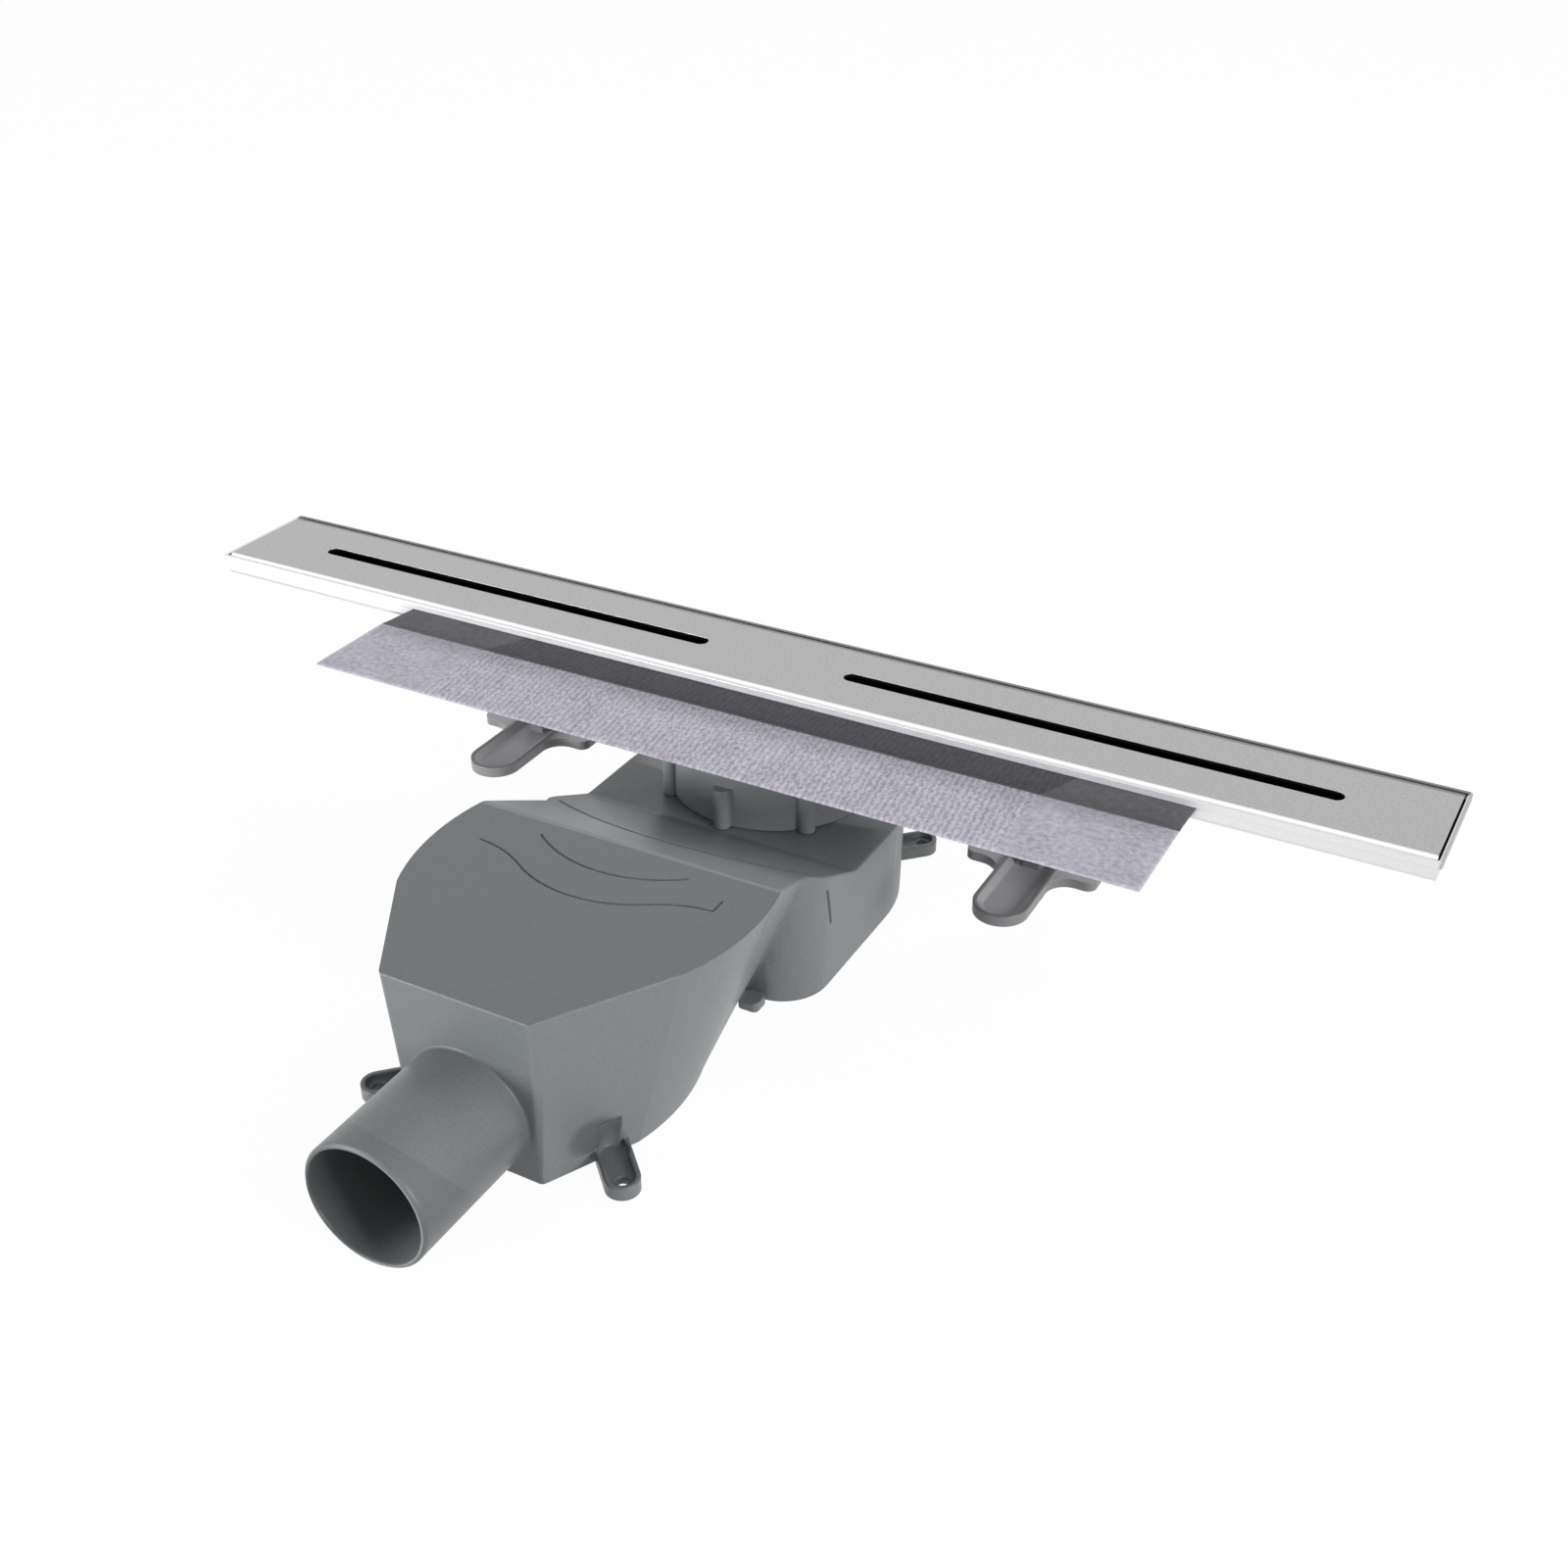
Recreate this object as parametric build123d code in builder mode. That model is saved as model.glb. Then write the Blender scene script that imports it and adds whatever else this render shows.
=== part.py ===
from build123d import *
from math import atan, degrees, sqrt
import os

os.makedirs("parts", exist_ok=True)

# Frame: millimetres, Z up, X along the channel, -Y towards the outlet pipe.
# The origin lies on the standing face of the trap, straight below its inlet.

# Steel channel and its cover
channel_length = 557.0
channel_width = 54.4
channel_height = 90.0  # underside of the channel above the standing face
channel_depth = 9.4
steel = 1.5  # sheet of the channel and of the cover
rim_face = 2.8  # upright face of the rim
ledge_rise = 0.8  # ledge inside lies this much above the step outside
rim_corner = 1.6
bend_radius = 2.0  # outside bend between the skirt and the floor
cover_gap = 0.85  # open joint between the cover and the rim
cover_depth = 2.6  # top of the cover above the ledge that carries it
cover_bend = 2.4
slot_length = 205.2
slot_width = 6.8
slot_bridge = 65.0  # closed middle of the cover, between the two slots
buffer_size = 12.0
buffer_inset = 10.0

# Outlet neck, its strainer and the rubber lip that it is pushed into
neck_bore = 41.0
neck_wall = 1.5
neck_reach = 7.0  # how far the neck passes through the lip seal
strainer_wall = 1.2
strainer_depth = 15.0
strainer_brim = 3.0
strainer_fit = 1.2
strainer_slots = 6
strainer_slot_width = 5.0
seal_fit = 0.05

# Levelling feet
foot_spacing = 242.5
foot_level = 34.5  # underside of the feet above the standing face
foot_length = 96.5
foot_width = 22.5
foot_height = 4.7
foot_rim = 1.5
foot_dish = 2.4
foot_dish_slope = 50.0  # slant of the dish's sides, in degrees from upright
wing_length = 56.0
wing_width = 17.0
wing_thickness = 3.9
wing_corner = 4.0
wing_blend = 9.0
boss_width = 13.0  # across flats
boss_height = 11.5
rod_diameter = 8.0
rod_fit = 0.2
nut_width = 13.0  # across flats
nut_height = 6.5
washer_diameter = 20.0
washer_thickness = 1.6

# Sealing membrane bonded to the front of the channel
membrane_length = 371.4
membrane_reach = 47.4  # from the skirt out to the free edge
membrane_thickness = 0.8
membrane_drop = 4.0  # flat part below the underside of the channel
membrane_bend = 3.0
strip_length = 330.0
strip_thickness = 0.6
strip_height = 5.2

# Trap housing
trap_wall = 3.0
shelf_level = 42.7  # flat top of the pot
box_level = 74.0  # flat top of the outlet box
pot_back = 17.0  # centre of the round back, behind the inlet axis towards the outlet
pot_foot_radius = 62.5
pot_head_radius = 64.4
pot_front = 92.0
pot_corner = 20.0
ridge_distance = 117.0  # where the flat top of the box turns down into the slope
slope_foot = 50.0
ridge_bend = 6.0
weir_level = 44.0
weir_span = 84.0
box_front = 226.0
box_lean = 4.0  # the front face leans out by this much over its height
face_half = 31.0
face_foot_half = 28.0
cheek_depth = 48.0  # length of the slanted cheeks along the box, at the top
cheek_half = 61.0
flank_half = 68.8
flank_place = 145.0
ridge_half = 66.4
cheek_foot_depth = 35.0
cheek_foot_half = 45.6
flank_foot_half = 48.7
flank_foot_place = 165.0
waist_half = 45.0
waist_place = 140.0
throat_half = 33.5
throat_place = 85.0
box_edge = 2.5
groove_width = 0.9
groove_depth = 0.7
inner_groove_half = 32.6
inner_groove_end = 126.7
inner_groove_middle = 138.0
wave_bow_half = 28.0
wave_bow_end = 148.0
wave_middle = 156.3
wave_half = 51.0
wave_end = 140.4
wave_run = (1.0, 0.65)  # direction in which the wave leaves its bow
wave_hook = 7.0  # the right end of the wave turns back by this much
slope_groove_half = 58.0
slope_groove_end = 79.0
slope_groove_middle = 96.0
side_groove_head = 48.0
side_groove_head_distance = 74.6
side_groove_foot = 30.0
side_groove_foot_distance = 70.5
closing_gap = 0.15
socket_diameter = 84.0
socket_wall = 3.0
socket_drop = 8.0  # the socket ends this much below the top of the locking ring
socket_ledge = 4.0
socket_ledge_drop = 10.0  # the ledge lies this much below the top of the socket

# Fixing lugs at the foot of the trap
lug_span_x = 107.0
lug_span_y = 249.0
lug_centre = -85.5
lug_width = 13.0
lug_height = 5.5
lug_rim = 1.8
lug_recess = 2.4
lug_hole = 4.4
scoop_reach = 14.0
scoop_height = 14.0
waist_pad_place = 97.0
waist_pad_half = 42.0
waist_pad_size = 9.0
waist_pad_height = 4.0

# Outlet pipe
pipe_diameter = 50.0
pipe_wall = 1.8
pipe_level = 25.5
pipe_end = 280.6
pipe_root_reach = 1.0  # low collar where the pipe leaves the box
pipe_root_step = 0.5
pipe_bevel = 1.0

# Locking ring and lip seal on the inlet socket
ring_diameter = 90.0
ring_fit = 0.3
ring_gap = 7.2  # between the top of the ring and the membrane above it
ring_top = 3.0
ring_bore = 56.0
ring_foot_gap = 0.5
slip_thickness = 1.0
ring_ribs = 8
ring_rib_width = 7.0
ring_rib_radius = 46.0
ring_rib_height = 18.0
lip_thickness = 1.6
lip_drop = 5.0

# Removable immersion cup
cup_diameter = 64.0
cup_wall = 2.0
cup_foot_gap = 10.0
cup_brim_thickness = 3.0
cup_brim_gap = 0.4
cup_grips = 2
gasket_thickness = 1.5

# Levels that follow from the sizes above
floor_level = channel_height + steel
rim_level = channel_height + channel_depth
step_level = rim_level - rim_face
ledge_level = step_level + ledge_rise
cover_level = ledge_level + cover_depth
cover_underside = cover_level - steel
membrane_level = channel_height - membrane_drop - membrane_thickness
ring_level = membrane_level - ring_gap
ring_underside = ring_level - ring_top
slip_level = ring_underside - slip_thickness
socket_level = ring_level - socket_drop
socket_ledge_level = socket_level - socket_ledge_drop
neck_diameter = neck_bore + 2 * neck_wall
lip_level = socket_level - lip_drop
neck_foot = lip_level - neck_reach
skirt_half = channel_width / 2 - steel


def draw_channel(plan, inset):
    """Plan of the channel, drawn in from the outer face of the rim."""
    Rectangle(channel_length - 2 * inset, channel_width - 2 * inset)
    if inset == 0:
        fillet(plan.vertices(), rim_corner)


# Cover: one sheet, both long edges folded down, two drainage slots with round ends
cover_length = channel_length - 2 * (steel + cover_gap)
cover_half = channel_width / 2 - steel - cover_gap

with BuildPart() as cover_plate:
    with BuildSketch(Plane.YZ) as cover_section:
        with BuildLine():
            FilletPolyline(
                (-cover_half + steel / 2, ledge_level),
                (-cover_half + steel / 2, cover_level - steel / 2),
                (cover_half - steel / 2, cover_level - steel / 2),
                (cover_half - steel / 2, ledge_level),
                radius=cover_bend - steel / 2,
            )
        trace(line_width=steel)
    extrude(amount=cover_length / 2, both=True)
    with BuildSketch(Plane.XY.offset(cover_level)) as cover_slots:
        with Locations(
            (-(slot_bridge + slot_length) / 2, 0),
            ((slot_bridge + slot_length) / 2, 0),
        ):
            SlotOverall(slot_length, slot_width)
    extrude(amount=-2 * steel, mode=Mode.SUBTRACT)
cover_plate.part.label = "cover_plate"
export_step(cover_plate.part, "parts/cover_plate.step")

# Rubber buffers stuck under the cover's ends, standing on the channel floor
buffer_x = cover_length / 2 - buffer_inset - buffer_size / 2
buffer_y = channel_width / 2 - 2 * steel - bend_radius - buffer_size / 2

with BuildPart() as cover_buffers:
    with BuildSketch(Plane.XY.offset(floor_level)):
        with GridLocations(2 * buffer_x, 2 * buffer_y, 2, 2):
            Rectangle(buffer_size, buffer_size)
    extrude(amount=cover_underside - floor_level)
cover_buffers.part.label = "cover_buffers"
export_step(cover_buffers.part, "parts/cover_buffers.step")

# Channel: a tray of one sheet whose wall steps in below the rim to make the ledge
with BuildPart() as channel:
    with BuildSketch(Plane.XY.offset(channel_height)) as skirt:
        draw_channel(skirt, steel)
    extrude(amount=rim_level - channel_height)
    fillet(channel.edges().group_by(Axis.Z)[0].filter_by(Axis.X), bend_radius)
    with BuildSketch(Plane.XY.offset(step_level)) as rim_band:
        draw_channel(rim_band, 0)
    extrude(amount=rim_face)
    with BuildSketch(Plane.XY.offset(ledge_level)) as rim_opening:
        draw_channel(rim_opening, steel)
    extrude(amount=rim_level, mode=Mode.SUBTRACT)
    with BuildPart(mode=Mode.PRIVATE) as tray_hollow:
        with BuildSketch(Plane.XY.offset(floor_level)) as hollow_plan:
            draw_channel(hollow_plan, 2 * steel)
        extrude(amount=rim_level)
        fillet(tray_hollow.edges().group_by(Axis.Z)[0].filter_by(Axis.X), bend_radius - steel)
    add(tray_hollow.part, mode=Mode.SUBTRACT)
    with BuildSketch(Plane.XY.offset(channel_height)) as outlet_hole:
        Circle(neck_bore / 2)
    extrude(amount=steel, mode=Mode.SUBTRACT)
channel.part.label = "channel"
export_step(channel.part, "parts/channel.step")

# Outlet neck: plain tube welded under the hole in the channel floor
with BuildPart() as outlet_neck:
    with BuildSketch(Plane.XZ) as neck_section:
        with BuildLine():
            Polyline(
                (neck_bore / 2, neck_foot),
                (neck_bore / 2, channel_height),
                (neck_diameter / 2, channel_height),
                (neck_diameter / 2, neck_foot),
                close=True,
            )
        make_face()
    revolve(axis=Axis.Z)
outlet_neck.part.label = "outlet_neck"
export_step(outlet_neck.part, "parts/outlet_neck.step")

# Hair strainer: moulded basket whose brim lies on the channel floor
basket_radius = neck_bore / 2 - strainer_fit
brim_radius = basket_radius + strainer_fit + strainer_brim
basket_floor = floor_level - strainer_depth
grip_height = cover_underside - floor_level - 2 * strainer_wall

with BuildPart() as hair_strainer:
    with BuildSketch(Plane.XY.offset(floor_level)):
        Circle(brim_radius)
    extrude(amount=strainer_wall)
    with BuildSketch(Plane.XY.offset(floor_level)):
        Circle(basket_radius)
    extrude(amount=-strainer_depth)
    with BuildSketch(Plane.XY.offset(floor_level + strainer_wall)):
        Circle(basket_radius - strainer_wall)
    extrude(amount=-strainer_depth, mode=Mode.SUBTRACT)
    with BuildSketch(Plane.XY.offset(basket_floor)):
        with PolarLocations(basket_radius, strainer_slots):
            Rectangle(basket_radius, strainer_slot_width)
    extrude(amount=strainer_depth - 2 * strainer_wall, mode=Mode.SUBTRACT)
    with BuildSketch(Plane.XY.offset(basket_floor)):
        Rectangle(2 * strainer_wall, 2 * basket_radius - strainer_wall)
    extrude(amount=strainer_depth + grip_height)
hair_strainer.part.label = "hair_strainer"
export_step(hair_strainer.part, "parts/hair_strainer.step")


def foot_place(side):
    """Distance of a foot's rod from the inlet axis, with its sign."""
    return side * foot_spacing / 2


# Weld nuts under the channel, the levelling rods screwed into them and their lock nuts
rod_foot = foot_level + foot_height - foot_dish
boss_level = foot_level + boss_height
lock_nut_level = boss_level + washer_thickness
weld_nut_level = channel_height - nut_height

with BuildPart() as weld_nuts:
    with BuildSketch(Plane.XY.offset(weld_nut_level)):
        with Locations((foot_place(-1), 0), (foot_place(1), 0)):
            RegularPolygon(nut_width / 2, 6, major_radius=False)
            Circle(rod_diameter / 2 + rod_fit, mode=Mode.SUBTRACT)
    extrude(amount=nut_height)
weld_nuts.part.label = "weld_nuts"
export_step(weld_nuts.part, "parts/weld_nuts.step")

with BuildPart() as levelling_rods:
    with BuildSketch(Plane.XY.offset(rod_foot)):
        with Locations((foot_place(-1), 0), (foot_place(1), 0)):
            Circle(rod_diameter / 2)
    extrude(amount=channel_height - rod_foot)
levelling_rods.part.label = "levelling_rods"
export_step(levelling_rods.part, "parts/levelling_rods.step")

with BuildPart() as lock_nuts:
    with BuildSketch(Plane.XY.offset(lock_nut_level)):
        with Locations((foot_place(-1), 0), (foot_place(1), 0)):
            RegularPolygon(nut_width / 2, 6, major_radius=False)
            Circle(rod_diameter / 2 + rod_fit, mode=Mode.SUBTRACT)
    extrude(amount=nut_height)
lock_nuts.part.label = "lock_nuts"
export_step(lock_nuts.part, "parts/lock_nuts.step")

with BuildPart() as foot_washers:
    with BuildSketch(Plane.XY.offset(boss_level)):
        with Locations((foot_place(-1), 0), (foot_place(1), 0)):
            Circle(washer_diameter / 2)
            Circle(rod_diameter / 2 + rod_fit, mode=Mode.SUBTRACT)
    extrude(amount=washer_thickness)
foot_washers.part.label = "foot_washers"
export_step(foot_washers.part, "parts/foot_washers.step")


# Feet: dished moulded tongues lying across the channel, with a flat wing on either side
def build_foot(side):
    """One levelling foot below the channel, on the left (-1) or on the right (1)."""
    place = foot_place(side)
    with BuildPart() as foot:
        with BuildSketch(Plane.XY.offset(foot_level)):
            with Locations((place, 0)):
                SlotOverall(foot_length, foot_width, rotation=90)
        extrude(amount=foot_height)
        with BuildSketch(Plane.XY.offset(foot_level)):
            with Locations((place, 0)):
                RectangleRounded(wing_length, wing_width, wing_corner)
        extrude(amount=wing_thickness)
        corners = foot.edges().filter_by(Axis.Z).filter_by(
            lambda edge: abs(abs((edge @ 0.5).Y) - wing_width / 2) < 0.01
            and abs(abs((edge @ 0.5).X - place) - foot_width / 2) < 0.01
        )
        fillet(corners, wing_blend)
        with BuildSketch(Plane.XY.offset(foot_level + foot_height)):
            with Locations((place, 0)):
                SlotOverall(foot_length - 2 * foot_rim, foot_width - 2 * foot_rim, rotation=90)
        extrude(amount=-foot_dish, taper=foot_dish_slope, mode=Mode.SUBTRACT)
        with BuildSketch(Plane.XY.offset(rod_foot)):
            with Locations((place, 0)):
                RegularPolygon(boss_width / 2, 6, major_radius=False)
        extrude(amount=boss_level - rod_foot)
        with BuildSketch(Plane.XY.offset(rod_foot)):
            with Locations((place, 0)):
                Circle(rod_diameter / 2 + rod_fit)
        extrude(amount=boss_height, mode=Mode.SUBTRACT)
    return foot.part


for side, foot_name in ((-1, "left_foot"), (1, "right_foot")):
    foot_part = build_foot(side)
    foot_part.label = foot_name
    export_step(foot_part, f"parts/{foot_name}.step")

# Bonding strip on the front of the skirt and the membrane that it holds
strip_back = -skirt_half
membrane_back = strip_back - strip_thickness

with BuildPart() as bonding_strip:
    with BuildSketch(Plane.YZ):
        with Locations((strip_back, step_level)):
            Rectangle(strip_thickness, strip_height, align=(Align.MAX, Align.MAX))
    extrude(amount=strip_length / 2, both=True)
bonding_strip.part.label = "bonding_strip"
export_step(bonding_strip.part, "parts/bonding_strip.step")

with BuildPart() as membrane:
    with BuildSketch(Plane.YZ):
        with BuildLine():
            FilletPolyline(
                (membrane_back - membrane_thickness / 2, step_level),
                (membrane_back - membrane_thickness / 2, membrane_level + membrane_thickness / 2),
                (-skirt_half - membrane_reach, membrane_level + membrane_thickness / 2),
                radius=membrane_bend,
            )
        trace(line_width=membrane_thickness)
    extrude(amount=membrane_length / 2, both=True)
membrane.part.label = "membrane"
export_step(membrane.part, "parts/membrane.step")


def draw_pot(plan, radius, inset):
    """Plan of the pot: half round at the back, straight sides, rounded front corners."""
    half = radius - inset
    with Locations((0, -pot_back)):
        Circle(half)
        Rectangle(2 * half, pot_front - pot_back - inset, align=(Align.CENTER, Align.MAX))
    fillet(plan.vertices().group_by(Axis.Y)[0], pot_corner - inset)


def draw_box(plan, top, inset, back):
    """Plan of the outlet box, at its top or its foot, with the back end where it is cut."""
    front = box_front if top else box_front - box_lean
    face = face_half if top else face_foot_half
    cheek = cheek_half if top else cheek_foot_half
    cheek_end = box_front - (cheek_depth if top else box_lean + cheek_foot_depth)
    flank = flank_half if top else flank_foot_half
    flank_at = flank_place if top else flank_foot_place
    waist = ridge_half if top else waist_half
    waist_at = ridge_distance if top else waist_place
    throat = pot_head_radius if top else throat_half
    throat_at = slope_foot if top else throat_place
    with BuildLine() as outline:
        Polyline((0, -front), (face, -front), (cheek, -cheek_end))
        if inset:
            Polyline((cheek, -cheek_end), (flank, -flank_at), (waist, -waist_at))
        else:
            ThreePointArc((cheek, -cheek_end), (flank, -flank_at), (waist, -waist_at))
        Polyline((waist, -waist_at), (throat, -throat_at), (0, -throat_at))
        mirror(about=Plane.YZ)
    make_face(outline.edges())
    if inset:
        offset(amount=-inset, kind=Kind.INTERSECTION)
    else:
        fillet(plan.vertices().group_by(Axis.Y)[0], box_edge)
    Rectangle(2 * box_front, back, align=(Align.CENTER, Align.MAX), mode=Mode.SUBTRACT)


def draw_roof(plan, drop):
    """Side view of all that lies below the roof: flat box top, slope and flat shelf."""
    back = pot_head_radius
    with BuildLine() as roof_line:
        Polyline(
            (-box_front - box_lean, 0),
            (-box_front - box_lean, box_level - drop),
            (-ridge_distance, box_level - drop),
            (-slope_foot, shelf_level - drop),
            (back, shelf_level - drop),
            (back, 0),
            close=True,
        )
    make_face(roof_line.edges())
    fillet(plan.vertices().sort_by_distance((-ridge_distance, box_level - drop))[0], ridge_bend - drop)
    fillet(plan.vertices().sort_by_distance((-slope_foot, shelf_level - drop))[0], ridge_bend + drop)


# Fixing lugs stand out diagonally, with a recessed top and a scoop in the wall for the driver
lug_sides = [(x_side, y_side) for x_side in (-1, 1) for y_side in (-1, 1)]
lug_diagonal = sqrt(0.5)
scoop_radius = lug_width / 2 - lug_rim / 2
scoop_foot = lug_height - lug_recess
scoop_room = scoop_radius + trap_wall
scoop_places = [
    (
        x_side * (lug_span_x / 2 - scoop_reach * lug_diagonal),
        lug_centre + y_side * (lug_span_y / 2 - scoop_reach * lug_diagonal),
    )
    for x_side, y_side in lug_sides
]


def draw_lugs(half_width):
    """Plans of the four lugs, each round about its hole and running in through the wall."""
    for x_side, y_side in lug_sides:
        hole_x = x_side * lug_span_x / 2
        hole_y = lug_centre + y_side * lug_span_y / 2
        root_y = hole_y - y_side * lug_span_x / 2
        SlotCenterPoint((hole_x / 2, (hole_y + root_y) / 2), (hole_x, hole_y), 2 * half_width)


with BuildPart() as lugs:
    with BuildSketch():
        draw_lugs(lug_width / 2)
    extrude(amount=lug_height)
    with BuildSketch(Plane.XY.offset(lug_height - lug_recess)):
        draw_lugs(lug_width / 2 - lug_rim)
    extrude(amount=lug_recess, mode=Mode.SUBTRACT)
    with BuildSketch():
        with Locations((0, lug_centre)):
            with GridLocations(lug_span_x, lug_span_y, 2, 2):
                Circle(lug_hole / 2)
    extrude(amount=lug_height, mode=Mode.SUBTRACT)

# Thin grooves moulded into the roof and into both sides of the pot
with BuildPart() as grooves:
    with BuildSketch():
        with BuildLine():
            ThreePointArc(
                (-inner_groove_half, -inner_groove_end),
                (0, -inner_groove_middle),
                (inner_groove_half, -inner_groove_end),
            )
        trace(line_width=groove_width)
        with BuildLine():
            ThreePointArc(
                (-wave_bow_half, -wave_bow_end),
                (0, -wave_middle),
                (wave_bow_half, -wave_bow_end),
            )
            TangentArc((wave_bow_half, -wave_bow_end), (wave_half, -wave_end), tangent=wave_run)
            TangentArc(
                (-wave_bow_half, -wave_bow_end),
                (-wave_half, -wave_end),
                tangent=(-wave_run[0], wave_run[1]),
            )
            Line((wave_half, -wave_end), (wave_half, wave_hook - wave_end))
        trace(line_width=groove_width)
        with BuildLine():
            ThreePointArc(
                (-slope_groove_half, -slope_groove_end),
                (0, -slope_groove_middle),
                (slope_groove_half, -slope_groove_end),
            )
        trace(line_width=groove_width)
    extrude(amount=box_level)
    with BuildSketch(Plane.YZ) as below_grooves:
        draw_roof(below_grooves, groove_depth)
    extrude(amount=box_front, both=True, mode=Mode.SUBTRACT)
    with BuildSketch(Plane.YZ.offset(pot_foot_radius)):
        with BuildLine():
            Line(
                (-side_groove_head_distance, side_groove_head),
                (-side_groove_foot_distance, side_groove_foot),
            )
        trace(line_width=1.5 * groove_width)
    side_groove = extrude(amount=trap_wall)
    mirror(side_groove, about=Plane.YZ)

# Room inside the trap: the pot, the outlet box and the passage over the weir between them
with BuildPart() as trap_room:
    with BuildSketch() as pot_floor_plan:
        draw_pot(pot_floor_plan, pot_foot_radius, trap_wall)
    extrude(amount=box_level)
    with BuildSketch() as box_floor_plan:
        draw_box(box_floor_plan, False, trap_wall, pot_front)
    with BuildSketch(Plane.XY.offset(box_level)) as box_roof_plan:
        draw_box(box_roof_plan, True, trap_wall, pot_front)
    loft(ruled=True)
    with BuildSketch(Plane.XY.offset(weir_level)):
        with Locations((0, -pot_front)):
            Rectangle(weir_span, trap_wall, align=(Align.CENTER, Align.MIN))
    extrude(amount=box_level)
    with BuildSketch(Plane.YZ) as room_side:
        draw_roof(room_side, trap_wall)
    extrude(amount=box_front, both=True, mode=Mode.INTERSECT)
    with BuildSketch(Plane.XY.offset(trap_wall)):
        with Locations(*scoop_places):
            Rectangle(2 * scoop_room, 2 * scoop_room)
    extrude(amount=scoop_foot + scoop_height, mode=Mode.SUBTRACT)

# Trap housing: moulded shell with the outlet pipe, the inlet socket and the lugs in one
socket_radius = socket_diameter / 2
socket_bore = socket_radius - socket_wall
pot_draft = degrees(atan((pot_head_radius - pot_foot_radius) / box_level))
weir_foot_half = throat_half - trap_wall

with BuildPart() as trap_housing:
    with BuildSketch() as pot_foot_plan:
        draw_pot(pot_foot_plan, pot_foot_radius, 0)
    extrude(amount=box_level, taper=-pot_draft)
    with BuildSketch() as box_foot_plan:
        draw_box(box_foot_plan, False, 0, slope_foot)
    with BuildSketch(Plane.XY.offset(box_level)) as box_head_plan:
        draw_box(box_head_plan, True, 0, slope_foot)
    loft(ruled=True)
    with BuildSketch(Plane.YZ) as housing_side:
        draw_roof(housing_side, 0)
    extrude(amount=box_front, both=True, mode=Mode.INTERSECT)
    add(grooves.part, mode=Mode.SUBTRACT)
    with BuildSketch(Plane.XZ.offset(box_front - box_lean - trap_wall)):
        with Locations((0, pipe_level)):
            Circle(pipe_diameter / 2)
    extrude(amount=pipe_end - box_front + box_lean + trap_wall)
    with BuildSketch(Plane.XZ.offset(box_front - box_lean - trap_wall)):
        with Locations((0, pipe_level)):
            Circle(pipe_diameter / 2 + pipe_root_step)
    extrude(amount=pipe_root_reach + box_lean + trap_wall)
    add(lugs.part)
    with BuildSketch():
        with Locations((-waist_pad_half, -waist_pad_place), (waist_pad_half, -waist_pad_place)):
            RectangleRounded(waist_pad_size, waist_pad_size, waist_pad_size / 4)
    extrude(amount=waist_pad_height)
    with BuildSketch(Plane.XY.offset(shelf_level - trap_wall)):
        Circle(socket_radius)
    extrude(amount=socket_level - shelf_level + trap_wall)
    add(trap_room.part, mode=Mode.SUBTRACT)
    with BuildSketch(Plane.XY.offset(scoop_foot)):
        with Locations(*scoop_places):
            Circle(scoop_radius)
    extrude(amount=scoop_height, mode=Mode.SUBTRACT)
    with BuildSketch(Plane.XZ.offset(box_front - box_lean - 2 * trap_wall)):
        with Locations((0, pipe_level)):
            Circle(pipe_diameter / 2 - pipe_wall)
    extrude(amount=pipe_end, mode=Mode.SUBTRACT)
    with BuildSketch(Plane.XY.offset(shelf_level - 2 * trap_wall)):
        Circle(socket_bore - socket_ledge)
    extrude(amount=socket_level, mode=Mode.SUBTRACT)
    with BuildSketch(Plane.XY.offset(socket_ledge_level)):
        Circle(socket_bore)
    extrude(amount=socket_level, mode=Mode.SUBTRACT)
    with BuildSketch():
        with Locations((0, -pot_front + trap_wall / 2)):
            Rectangle(2 * weir_foot_half, 2 * trap_wall)
    extrude(amount=trap_wall, mode=Mode.SUBTRACT)
    pipe_tip = trap_housing.edges().filter_by(GeomType.CIRCLE).group_by(Axis.Y)[0]
    chamfer(pipe_tip.sort_by(SortBy.RADIUS)[-1], pipe_bevel)
trap_housing.part.label = "trap_housing"
export_step(trap_housing.part, "parts/trap_housing.step")

# Closing plate: welded into the open underside of the housing, carries the weir's foot
with BuildPart() as closing_plate:
    with BuildSketch() as plate_plan:
        with BuildSketch(mode=Mode.PRIVATE) as pot_plate:
            draw_pot(pot_plate, pot_foot_radius, trap_wall + closing_gap)
        add(pot_plate.sketch)
        with BuildSketch(mode=Mode.PRIVATE) as box_plate:
            draw_box(box_plate, False, trap_wall + closing_gap, pot_front)
        add(box_plate.sketch)
        with Locations((0, -pot_front + trap_wall / 2)):
            Rectangle(2 * (weir_foot_half - closing_gap), 2 * trap_wall)
    extrude(amount=trap_wall)
closing_plate.part.label = "closing_plate"
export_step(closing_plate.part, "parts/closing_plate.step")

# Locking ring: screws down over the socket, with eight grip ribs around it
ring_foot = shelf_level + ring_foot_gap

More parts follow.
